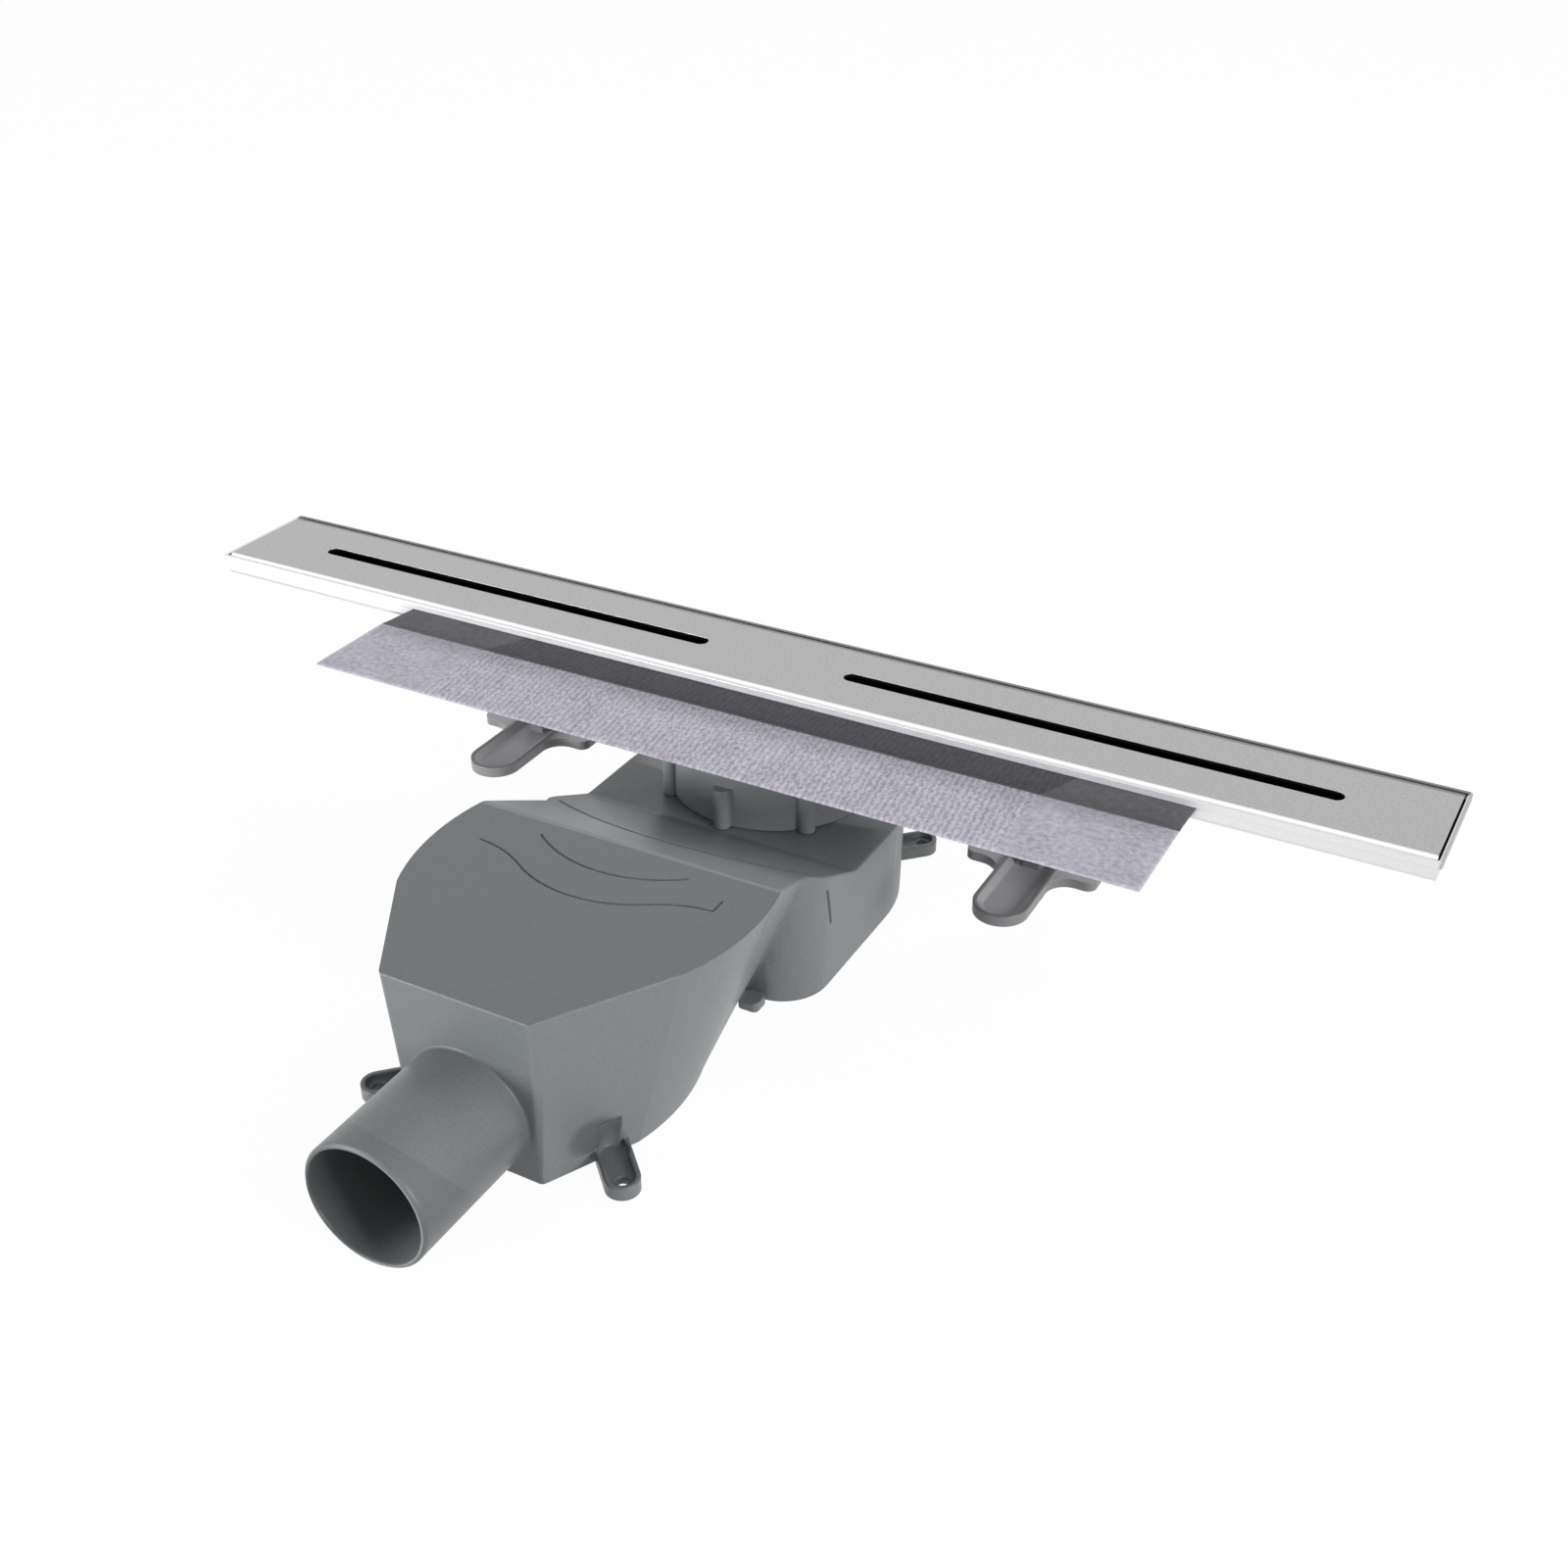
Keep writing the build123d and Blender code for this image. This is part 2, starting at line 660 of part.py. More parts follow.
with BuildPart() as locking_ring:
    with BuildSketch(Plane.XY.offset(ring_foot)):
        Circle(ring_diameter / 2)
    extrude(amount=ring_level - ring_foot)
    with BuildSketch(Plane.XY.offset(ring_foot)) as rib_plan:
        with PolarLocations(ring_rib_radius, ring_ribs):
            Rectangle(ring_rib_width, ring_rib_width)
        chamfer(rib_plan.vertices(), ring_rib_width / 3)
    extrude(amount=ring_rib_height)
    with BuildSketch(Plane.XY.offset(ring_foot)):
        Circle(socket_radius + ring_fit)
    extrude(amount=ring_underside - ring_foot, mode=Mode.SUBTRACT)
    with BuildSketch(Plane.XY.offset(ring_underside)):
        Circle(ring_bore / 2)
    extrude(amount=ring_top, mode=Mode.SUBTRACT)
    ring_rim = locking_ring.edges().filter_by(GeomType.CIRCLE).group_by(Axis.Z)[-1]
    chamfer(ring_rim.sort_by(SortBy.RADIUS)[-1], ring_top / 3)
locking_ring.part.label = "locking_ring"
export_step(locking_ring.part, "parts/locking_ring.step")

# Slip ring: hard flat ring that lets the locking ring turn without dragging the seal along
with BuildPart() as slip_ring:
    with BuildSketch(Plane.XY.offset(slip_level)):
        Circle(socket_radius)
        Circle(ring_bore / 2, mode=Mode.SUBTRACT)
    extrude(amount=slip_thickness)
slip_ring.part.label = "slip_ring"
export_step(slip_ring.part, "parts/slip_ring.step")

# Lip seal: rubber collar clamped under the ring, its lip closes on the outlet neck
lip_radius = neck_diameter / 2 + seal_fit
seal_mouth = ring_bore / 2 - lip_thickness

with BuildPart() as lip_seal:
    with BuildSketch(Plane.XZ):
        with BuildLine():
            Polyline(
                (socket_radius, socket_level),
                (socket_radius, slip_level),
                (seal_mouth, slip_level),
                (lip_radius, lip_level + lip_thickness),
                (lip_radius, lip_level),
                (seal_mouth + lip_thickness, socket_level),
                close=True,
            )
        make_face()
    revolve(axis=Axis.Z)
lip_seal.part.label = "lip_seal"
export_step(lip_seal.part, "parts/lip_seal.step")

# Flat gasket on the ledge in the socket, and the immersion cup that hangs on it
brim_outside = socket_bore - cup_brim_gap
brim_foot = socket_ledge_level + gasket_thickness
brim_head = brim_foot + cup_brim_thickness
cup_foot = trap_wall + cup_foot_gap
cup_bore = cup_diameter / 2 - cup_wall
grip_thickness = cup_wall
grip_place = (cup_bore + brim_outside) / 2

with BuildPart() as cup_gasket:
    with BuildSketch(Plane.XY.offset(socket_ledge_level)):
        Circle(brim_outside)
        Circle(socket_bore - socket_ledge, mode=Mode.SUBTRACT)
    extrude(amount=gasket_thickness)
cup_gasket.part.label = "cup_gasket"
export_step(cup_gasket.part, "parts/cup_gasket.step")

with BuildPart() as immersion_cup:
    with BuildSketch(Plane.XZ):
        with BuildLine():
            Polyline(
                (cup_bore, cup_foot),
                (cup_bore, brim_head),
                (brim_outside, brim_head),
                (brim_outside, brim_foot),
                (cup_diameter / 2, brim_foot),
                (cup_diameter / 2, cup_foot),
                close=True,
            )
        make_face()
    revolve(axis=Axis.Z)
    with BuildSketch(Plane.XY.offset(brim_head)):
        with PolarLocations(grip_place, cup_grips):
            Rectangle(grip_thickness, 6 * grip_thickness)
    extrude(amount=(socket_level - brim_head) * 0.7)
immersion_cup.part.label = "immersion_cup"
export_step(immersion_cup.part, "parts/immersion_cup.step")
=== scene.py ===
import math

import bmesh
import bpy
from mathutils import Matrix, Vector


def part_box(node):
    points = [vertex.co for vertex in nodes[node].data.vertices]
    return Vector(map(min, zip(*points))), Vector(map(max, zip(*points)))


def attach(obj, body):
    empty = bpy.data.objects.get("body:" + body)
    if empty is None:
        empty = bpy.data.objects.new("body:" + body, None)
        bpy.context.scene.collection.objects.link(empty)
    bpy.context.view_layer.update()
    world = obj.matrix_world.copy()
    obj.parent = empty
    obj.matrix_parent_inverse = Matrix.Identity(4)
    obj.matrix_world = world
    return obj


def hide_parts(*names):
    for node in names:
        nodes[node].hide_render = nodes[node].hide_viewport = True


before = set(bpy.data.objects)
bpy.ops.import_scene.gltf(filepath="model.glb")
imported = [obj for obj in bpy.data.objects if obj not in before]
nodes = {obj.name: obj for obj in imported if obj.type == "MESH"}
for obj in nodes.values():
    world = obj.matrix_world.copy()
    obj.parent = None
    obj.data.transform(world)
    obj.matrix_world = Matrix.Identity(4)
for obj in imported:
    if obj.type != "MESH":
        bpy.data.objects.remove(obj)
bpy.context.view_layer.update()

# Trap housing: pot, outlet box, spigot and lugs in one mid-grey polypropylene moulding with a
# fine matt skin. Its corners are a little soft, as a mould leaves them, and the closing plate of
# the same plastic is welded into its underside.


def new_material(name):
    """An empty node material with its Principled shader and output in place."""
    material = bpy.data.materials.new(name)
    material.use_nodes = True
    tree = material.node_tree
    tree.nodes.clear()
    output = tree.nodes.new("ShaderNodeOutputMaterial")
    shader = tree.nodes.new("ShaderNodeBsdfPrincipled")
    tree.links.new(shader.outputs["BSDF"], output.inputs["Surface"])
    return material, tree, shader


def wear_material(owner, material):
    """Puts one material on every face of a piece."""
    owner.data.materials.clear()
    owner.data.materials.append(material)


def new_group(name, sockets):
    """A shader node group with the named inputs and outputs."""
    group = bpy.data.node_groups.new(name, "ShaderNodeTree")
    for direction, label, kind in sockets:
        group.interface.new_socket(name=label, in_out=direction, socket_type=kind)
    return group, group.nodes.new("NodeGroupInput"), group.nodes.new("NodeGroupOutput")


def math_node(tree, operation, first, second=None, third=None, clamp=False):
    """One arithmetic node, whose operands are numbers or sockets."""
    node = tree.nodes.new("ShaderNodeMath")
    node.operation = operation
    node.use_clamp = clamp
    for index, operand in enumerate((first, second, third)):
        if operand is None:
            continue
        if isinstance(operand, (int, float)):
            node.inputs[index].default_value = operand
        else:
            tree.links.new(operand, node.inputs[index])
    return node.outputs[0]


def noise_node(tree, vector, scale, detail, roughness):
    """Noise around a half, read at a place."""
    node = tree.nodes.new("ShaderNodeTexNoise")
    node.inputs["Scale"].default_value = scale
    node.inputs["Detail"].default_value = detail
    node.inputs["Roughness"].default_value = roughness
    tree.links.new(vector, node.inputs["Vector"])
    return node.outputs["Fac"]


def swing(tree, noise, amount):
    """Noise brought to swing about nought, as far as the amount."""
    return math_node(tree, "MULTIPLY", math_node(tree, "SUBTRACT", noise, 0.5), amount)


def scaled_colour(tree, colour, factor):
    """A colour made lighter or darker by a factor."""
    node = tree.nodes.new("ShaderNodeVectorMath")
    node.operation = "SCALE"
    tree.links.new(colour, node.inputs[0])
    tree.links.new(factor, node.inputs["Scale"])
    return node.outputs[0]


def soft_skin():
    """Group: the fine speckle, slow cloudiness and eggshell roughness of a moulded skin."""
    roughness_swing = 0.16
    grit_share = 0.5
    group, given, result = new_group("moulded_skin", (
        ("INPUT", "Color", "NodeSocketColor"),
        ("INPUT", "Speckle", "NodeSocketFloat"),
        ("INPUT", "Clouds", "NodeSocketFloat"),
        ("INPUT", "Roughness", "NodeSocketFloat"),
        ("OUTPUT", "Color", "NodeSocketColor"),
        ("OUTPUT", "Roughness", "NodeSocketFloat"),
        ("OUTPUT", "Height", "NodeSocketFloat"),
    ))
    place = group.nodes.new("ShaderNodeTexCoord").outputs["Object"]
    speckle = noise_node(group, place, scale=900.0, detail=3.0, roughness=0.7)
    clouds = noise_node(group, place, scale=16.0, detail=3.0, roughness=0.6)
    grit = noise_node(group, place, scale=2200.0, detail=2.0, roughness=0.6)
    fine = swing(group, speckle, given.outputs["Speckle"])
    slow = swing(group, clouds, given.outputs["Clouds"])
    tone = math_node(group, "ADD", math_node(group, "ADD", fine, slow), 1.0)
    group.links.new(scaled_colour(group, given.outputs["Color"], tone), result.inputs["Color"])
    uneven = swing(group, clouds, roughness_swing)
    rough = math_node(group, "ADD", uneven, given.outputs["Roughness"], clamp=True)
    group.links.new(rough, result.inputs["Roughness"])
    height = math_node(group, "ADD", speckle, math_node(group, "MULTIPLY", grit, grit_share))
    group.links.new(height, result.inputs["Height"])
    return group


moulded_skin = soft_skin()


def soften_and_grain(tree, shader, height, edge, samples, distance, strength):
    """Rounds the look of the edges and lays a fine grain over the surface."""
    soft_edge = tree.nodes.new("ShaderNodeBevel")
    soft_edge.samples = samples
    soft_edge.inputs["Radius"].default_value = edge
    grain = tree.nodes.new("ShaderNodeBump")
    grain.inputs["Distance"].default_value = distance
    grain.inputs["Strength"].default_value = strength
    tree.links.new(height, grain.inputs["Height"])
    tree.links.new(soft_edge.outputs["Normal"], grain.inputs["Normal"])
    tree.links.new(grain.outputs["Normal"], shader.inputs["Normal"])


def moulded_plastic(name, colour, roughness, speckle=0.22, clouds=0.10, edge=0.0006, tone=None):
    """Matt moulded plastic with softened corners; tone builds its painted light and shade."""
    material, tree, shader = new_material(name)
    skin = tree.nodes.new("ShaderNodeGroup")
    skin.node_tree = moulded_skin
    skin.inputs["Color"].default_value = (*colour, 1)
    skin.inputs["Speckle"].default_value = speckle
    skin.inputs["Clouds"].default_value = clouds
    skin.inputs["Roughness"].default_value = roughness
    toned = skin.outputs["Color"]
    if tone is not None:
        toned = scaled_colour(tree, toned, tone(tree))
    tree.links.new(toned, shader.inputs["Base Color"])
    tree.links.new(skin.outputs["Roughness"], shader.inputs["Roughness"])
    soften_and_grain(
        tree, shader, skin.outputs["Height"], edge, samples=6, distance=0.00002, strength=0.6
    )
    return material


def outside(tree, mask):
    """The rest of a mask."""
    return math_node(tree, "SUBTRACT", 1.0, mask)


def below(tree, value, limit, softness=0.00005):
    """One well below the limit, fading to nought at the limit over the softness."""
    rest = math_node(tree, "SUBTRACT", limit, value)
    return math_node(tree, "MULTIPLY", rest, 1.0 / softness, clamp=True)


def above(tree, value, limit, softness=0.00005):
    """One from the limit up, fading to nought below it over the softness."""
    return outside(tree, below(tree, value, limit, softness))


def all_of(tree, *masks):
    """One where every mask is one."""
    result = masks[0]
    for mask in masks[1:]:
        result = math_node(tree, "MULTIPLY", result, mask)
    return result


def between(tree, value, low, high, softness):
    """One between two limits."""
    return all_of(tree, below(tree, value, high, softness), above(tree, value, low, softness))


def own_place(tree):
    """X, Y and Z of the place in the part's own frame."""
    place = tree.nodes.new("ShaderNodeTexCoord").outputs["Object"]
    parts = tree.nodes.new("ShaderNodeSeparateXYZ")
    tree.links.new(place, parts.inputs["Vector"])
    return parts.outputs["X"], parts.outputs["Y"], parts.outputs["Z"]


def facing_up(tree):
    """How level the face lies: one on level faces, nought on upright ones."""
    facing = tree.nodes.new("ShaderNodeSeparateXYZ")
    normal = tree.nodes.new("ShaderNodeNewGeometry").outputs["True Normal"]
    tree.links.new(normal, facing.inputs["Vector"])
    return math_node(tree, "ABSOLUTE", facing.outputs["Z"])


def distance_to(tree, *axes):
    """Distance to a centre, where each axis gives its value, its centre and its unit of length."""
    total = 0.0
    for value, centre, unit in axes:
        step = math_node(tree, "DIVIDE", math_node(tree, "SUBTRACT", value, centre), unit)
        total = math_node(tree, "MULTIPLY_ADD", step, step, total)
    return math_node(tree, "SQRT", total)


def tinted(tree, tone, mask, factor):
    """A tone multiplied by a factor where the mask is one."""
    change = math_node(tree, "SUBTRACT", factor, 1.0)
    return math_node(tree, "MULTIPLY", tone, math_node(tree, "MULTIPLY_ADD", mask, change, 1.0))


pipe_radius = 0.025
pipe_wall = 0.0018
pipe_level = 0.0255
pipe_root = -0.2215  # where the spigot leaves the front of the box


def spigot_painted_shading(tree):
    """Painted light and shade: the bore lighter to its right, a shadow aslant round the mouth, shade
    beneath.
    """
    bore_start = pipe_root + 0.03
    bore_light = 0.92
    bore_gradient = 18.0  # per metre from left to right
    band_level = 0.100
    band_rise = 0.706
    band_lean = 0.158
    band_line = -0.3068
    band_shade = 0.86
    under_level = 0.046
    under_fade = 0.018
    under_shade = 0.72
    x, y, z = own_place(tree)
    from_axis = distance_to(tree, (x, 0.0, 1.0), (z, pipe_level, 1.0))
    in_wall = below(tree, from_axis, pipe_radius - pipe_wall / 2, softness=0.0002)
    bore = all_of(tree, below(tree, y, bore_start, softness=0.02), in_wall)
    # painted light and shade in the bore: darker at its left, lighter at its right
    tone = tinted(tree, 1.0, bore, math_node(tree, "MULTIPLY_ADD", x, bore_gradient, bore_light))
    skin = all_of(tree, below(tree, y, pipe_root, softness=0.0004), outside(tree, bore))
    # a painted shadow aslant round the mouth of the spigot
    over_level = math_node(tree, "SUBTRACT", z, band_level)
    aslant = math_node(tree, "MULTIPLY_ADD", over_level, band_rise, y)
    aslant = math_node(tree, "MULTIPLY_ADD", x, band_lean, aslant)
    mouth_shadow = all_of(tree, below(tree, aslant, band_line, softness=0.0006), skin)
    tone = tinted(tree, tone, mouth_shadow, band_shade)
    # painted shade on the underside of the spigot
    under = all_of(tree, skin, below(tree, z, under_level, under_fade))
    return tinted(tree, tone, under, under_shade)


def roof_painted_shading(tree, tone):
    """Painted light and shade: a highlight on the ridge, light on the slope and shelf, shade on the lid.
    """
    level_enough = 0.55
    roof_foot = 0.0440
    ridge_front = -0.1185
    ridge_back = -0.1140
    ridge_light = 1.45
    slope_front = -0.1138
    slope_back = -0.052
    slope_light = 1.28
    left_side = 0.0
    left_fade = 0.05
    left_light = 1.25
    right_side = 0.04
    right_fade = 0.04
    right_light = 1.28
    shelf_low = 0.0420
    shelf_high = 0.0446
    shelf_front = -0.0850
    shelf_light = 1.32
    lid_level = 0.0738
    lid_back = -0.1188
    lid_shade = 0.90
    x, y, z = own_place(tree)
    upward = above(tree, facing_up(tree), level_enough, softness=0.1)
    roof = all_of(tree, above(tree, z, roof_foot, softness=0.0004), upward)
    # painted highlight along the ridge
    ridge = all_of(tree, roof, between(tree, y, ridge_front, ridge_back, softness=0.0006))
    tone = tinted(tree, tone, ridge, ridge_light)
    # painted light on the slope, more towards its left and right
    slope = all_of(
        tree,
        roof,
        above(tree, y, slope_front, softness=0.0010),
        below(tree, y, slope_back, softness=0.006),
    )
    tone = tinted(tree, tone, slope, slope_light)
    left_slope = all_of(tree, slope, below(tree, x, left_side, left_fade))
    tone = tinted(tree, tone, left_slope, left_light)
    right_slope = all_of(tree, slope, above(tree, x, right_side, right_fade))
    tone = tinted(tree, tone, right_slope, right_light)
    # painted light on the shelf
    shelf = all_of(tree, between(tree, z, shelf_low, shelf_high, softness=0.0006), upward)
    shelf = all_of(tree, shelf, above(tree, y, shelf_front, softness=0.0010))
    tone = tinted(tree, tone, shelf, shelf_light)
    # painted shade on the lid
    lid = all_of(
        tree,
        above(tree, z, lid_level, softness=0.0003),
        below(tree, y, lid_back, softness=0.0006),
    )
    return tinted(tree, tone, lid, lid_shade)


def housing_painted_shading(tree):
    """Painted light and shade of the spigot and the roof, and painted shade in the hollows above the four
    lugs.
    """
    lugs_centre = -0.0855
    hollow_aside = 0.0425
    hollow_along = 0.1205
    hollow_level = 0.0120
    hollow_radius = 0.0130
    hollow_half_height = 0.0105
    hollow_fade = 0.25
    hollow_foot = 0.0058
    hollow_shade = 0.66
    x, y, z = own_place(tree)
    tone = roof_painted_shading(tree, spigot_painted_shading(tree))
    aside = math_node(tree, "ABSOLUTE", x)
    along = math_node(tree, "ABSOLUTE", math_node(tree, "SUBTRACT", y, lugs_centre))
    # painted shade in the hollows above the lugs
    from_hollow = distance_to(
        tree,
        (aside, hollow_aside, hollow_radius),
        (along, hollow_along, hollow_radius),
        (z, hollow_level, hollow_half_height),
    )
    hollow = below(tree, from_hollow, 1.0, hollow_fade)
    hollow = all_of(tree, hollow, above(tree, z, hollow_foot, softness=0.0004))
    return tinted(tree, tone, hollow, hollow_shade)


housing_plastic = moulded_plastic(
    "housing_plastic",
    (0.128, 0.139, 0.144),
    roughness=0.40,
    speckle=0.50,
    clouds=0.06,
    edge=0.0018,
    tone=housing_painted_shading,
)
wear_material(nodes["closing_plate"], housing_plastic)

weld_distance = 0.000004
sliver_length = 0.000002
collar_front = -0.2300
collar_back = -0.2190
collar_low = 0.0002  # points between these two outside the spigot belong to its collar
collar_high = 0.0008
smooth_angle = math.radians(6)
housing = bpy.data.objects.new("housing_moulding", nodes["trap_housing"].data.copy())
bpy.context.scene.collection.objects.link(housing)
work = bmesh.new()
work.from_mesh(housing.data)
bmesh.ops.remove_doubles(work, verts=work.verts, dist=weld_distance)
for vert in work.verts:
    up = vert.co.z - pipe_level
    away = math.hypot(vert.co.x, up)
    at_collar = collar_front < vert.co.y < collar_back
    if at_collar and pipe_radius + collar_low < away < pipe_radius + collar_high:
        vert.co.x *= pipe_radius / away
        vert.co.z = pipe_level + up * pipe_radius / away
bmesh.ops.remove_doubles(work, verts=work.verts, dist=weld_distance)
bmesh.ops.dissolve_degenerate(work, dist=sliver_length, edges=work.edges)
for face in work.faces:
    face.smooth = True
work.to_mesh(housing.data)
work.free()
housing.data.set_sharp_from_angle(angle=smooth_angle)
wear_material(housing, housing_plastic)
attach(housing, "root")
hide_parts("trap_housing")

# Locking ring: a grey moulded ring with eight round grip ribs, screwed down over the inlet
# socket. The white slip ring under it and the white immersion cup in the pot are moulded too.
ring_plastic = moulded_plastic(
    "ring_plastic", (0.215, 0.226, 0.232), roughness=0.40, speckle=0.4, edge=0.0010
)


def grown_tree(name, inputs):
    """An empty Geometry Nodes tree with the named inputs, and the identifiers of their sockets."""
    tree = bpy.data.node_groups.new(name, "GeometryNodeTree")
    tree.interface.new_socket(name="Geometry", in_out="INPUT", socket_type="NodeSocketGeometry")
    labels = {}
    for label, kind in inputs:
        socket = tree.interface.new_socket(name=label, in_out="INPUT", socket_type=kind)
        labels[label] = socket.identifier
    tree.interface.new_socket(name="Geometry", in_out="OUTPUT", socket_type="NodeSocketGeometry")
    return tree, tree.nodes.new("NodeGroupInput"), labels


def close_tree(tree, given, geometry):
    """Ends a tree in real geometry that wears its material."""
    real = tree.nodes.new("GeometryNodeRealizeInstances")
    dressed = tree.nodes.new("GeometryNodeSetMaterial")
    result = tree.nodes.new("NodeGroupOutput")
    tree.links.new(geometry, real.inputs["Geometry"])
    tree.links.new(real.outputs["Geometry"], dressed.inputs["Geometry"])
    tree.links.new(given.outputs["Material"], dressed.inputs["Material"])
    tree.links.new(dressed.outputs["Geometry"], result.inputs["Geometry"])


def grow_piece(name, tree, labels, values, mesh=None):
    """A piece whose mesh comes from a tree, run once with the given sizes."""
    piece = bpy.data.objects.new(name, mesh or bpy.data.meshes.new(name))
    bpy.context.scene.collection.objects.link(piece)
    growth = piece.modifiers.new("growth", "NODES")
    growth.node_group = tree
    for label, value in values.items():
        growth[labels[label]] = value
    grown = piece.evaluated_get(bpy.context.evaluated_depsgraph_get())
    final = bpy.data.meshes.new_from_object(grown)
    piece.modifiers.clear()
    piece.data = final
    piece.data.name = name
    return piece


def turned_mesh(name, profile, steps):
    """A closed profile of radius and level, turned round the inlet axis."""
    sharp_angle = math.radians(35)
    mesh = bpy.data.meshes.new(name)
    work = bmesh.new()
    loops = []
    for i in range(steps):
        angle = 2 * math.pi * i / steps
        across, along = math.cos(angle), math.sin(angle)
        loops.append([work.verts.new((r * across, r * along, z)) for r, z in profile])
    for i in range(steps):
        here, there = loops[i], loops[(i + 1) % steps]
        for j in range(len(profile)):
            k = (j + 1) % len(profile)
            work.faces.new((here[j], here[k], there[k], there[j])).smooth = True
    bmesh.ops.recalc_face_normals(work, faces=work.faces)
    work.to_mesh(mesh)
    work.free()
    mesh.set_sharp_from_angle(angle=sharp_angle)
    return mesh


ring_low, ring_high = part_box("locking_ring")
foot = ring_low.z
top = ring_high.z
ring_outer = 0.0450
ring_inner = 0.0423
ring_mouth = 0.0280
ring_cap = 0.0030
ring_shoulder = 0.0014  # height and depth of the two small slants at the top edge
shoulder_break = 0.0005
shoulder_inset = 0.0004
mouth_bevel = 0.0006
ring_steps = 128
rib_count = 8
rib_circle = 0.0460
rib_radius = 0.0035
rib_tall = 0.0180
rib_sides = 28
ring_profile = (
    (ring_outer, foot),
    (ring_outer, top - ring_shoulder),
    (ring_outer - shoulder_inset, top - shoulder_break),
    (ring_outer - ring_shoulder, top),
    (ring_mouth + mouth_bevel, top),
    (ring_mouth, top - mouth_bevel),
    (ring_mouth, top - ring_cap),
    (ring_inner, top - ring_cap),
    (ring_inner, foot),
)
ribs, given, labels = grown_tree("grip_ribs", (
    ("Ribs", "NodeSocketInt"),
    ("Circle Radius", "NodeSocketFloat"),
    ("Rib Radius", "NodeSocketFloat"),
    ("Rib Height", "NodeSocketFloat"),
    ("Foot", "NodeSocketFloat"),
    ("Material", "NodeSocketMaterial"),
))
places = ribs.nodes.new("GeometryNodeMeshCircle")
ribs.links.new(given.outputs["Ribs"], places.inputs["Vertices"])
ribs.links.new(given.outputs["Circle Radius"], places.inputs["Radius"])
column = ribs.nodes.new("GeometryNodeMeshCylinder")
column.inputs["Vertices"].default_value = rib_sides
ribs.links.new(given.outputs["Rib Radius"], column.inputs["Radius"])
ribs.links.new(given.outputs["Rib Height"], column.inputs["Depth"])
middle = math_node(ribs, "MULTIPLY_ADD", given.outputs["Rib Height"], 0.5, given.outputs["Foot"])
lift = ribs.nodes.new("ShaderNodeCombineXYZ")
ribs.links.new(middle, lift.inputs["Z"])
raised = ribs.nodes.new("GeometryNodeTransform")
ribs.links.new(column.outputs["Mesh"], raised.inputs["Geometry"])
ribs.links.new(lift.outputs["Vector"], raised.inputs["Translation"])
spread = ribs.nodes.new("GeometryNodeInstanceOnPoints")
ribs.links.new(places.outputs["Mesh"], spread.inputs["Points"])
ribs.links.new(raised.outputs["Geometry"], spread.inputs["Instance"])
both = ribs.nodes.new("GeometryNodeJoinGeometry")
ribs.links.new(spread.outputs["Instances"], both.inputs["Geometry"])
ribs.links.new(given.outputs["Geometry"], both.inputs["Geometry"])
close_tree(ribs, given, both.outputs["Geometry"])
ring_sizes = {
    "Ribs": rib_count,
    "Circle Radius": rib_circle,
    "Rib Radius": rib_radius,
    "Rib Height": rib_tall,
    "Foot": foot,
    "Material": ring_plastic,
}
ring_body = turned_mesh("ring_body", ring_profile, ring_steps)
ring = grow_piece("ring_moulding", ribs, labels, ring_sizes, ring_body)
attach(ring, "root")
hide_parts("locking_ring")
white_plastic = moulded_plastic(
    "white_plastic", (0.62, 0.62, 0.60), roughness=0.40, speckle=0.05, clouds=0.05
)
for name in ("immersion_cup", "slip_ring"):
    wear_material(nodes[name], white_plastic)

# Seals and buffers: black rubber, matt, with a faint bloom. The lip seal and the gasket lie in
# the socket, the buffers lie under the cover, and the strip holds the membrane.
rubber = moulded_plastic(
    "rubber", (0.030, 0.030, 0.032), roughness=0.62, speckle=0.5, clouds=0.6, edge=0.0003
)
for name in ("lip_seal", "cup_gasket", "cover_buffers", "bonding_strip"):
    wear_material(nodes[name], rubber)

# Levelling feet: thin dished tongues moulded in a paler grey plastic. Each has a hexagon boss
# that takes the lower end of a threaded rod, under a washer and a lock nut.


def foot_painted_shading(tree):
    """Painted shade: boss and upright sides darker than the tongue, and the right foot darker than the
    left.
    """
    tongue_top = 0.0393
    level_enough = 0.35
    side_share = 0.65
    shade_depth = 0.72
    middle_light = 0.98
    light_gradient = -1.25  # per metre from left to right
    x, _, z = own_place(tree)
    # painted shade on the boss and upright sides, and a painted gradient that shades the right foot more
    boss = above(tree, z, tongue_top, softness=0.0004)
    side = below(tree, facing_up(tree), level_enough, softness=0.2)
    shade = math_node(tree, "MAXIMUM", boss, math_node(tree, "MULTIPLY", side, side_share))
    unshaded_share = outside(tree, math_node(tree, "MULTIPLY", shade, shade_depth))
    sideways = math_node(tree, "MULTIPLY_ADD", x, light_gradient, middle_light)
    return math_node(tree, "MULTIPLY", unshaded_share, sideways)


foot_plastic = moulded_plastic(
    "foot_plastic", (0.335, 0.339, 0.350), roughness=0.38, speckle=0.20, edge=0.0012, tone=foot_painted_shading
)
for name in ("left_foot", "right_foot"):
    wear_material(nodes[name], foot_plastic)

# Hair strainer: a small grey moulded basket that hangs by its brim in the outlet of the
# channel and lifts out for cleaning.
strainer_plastic = moulded_plastic("strainer_plastic", (0.35, 0.36, 0.37), roughness=0.40)
wear_material(nodes["hair_strainer"], strainer_plastic)

# Channel and cover: stainless sheet with a satin, fine-grained finish. The channel is folded
# into a tray with a stepped wall, and the cover, folded down at both long edges, lies in it.


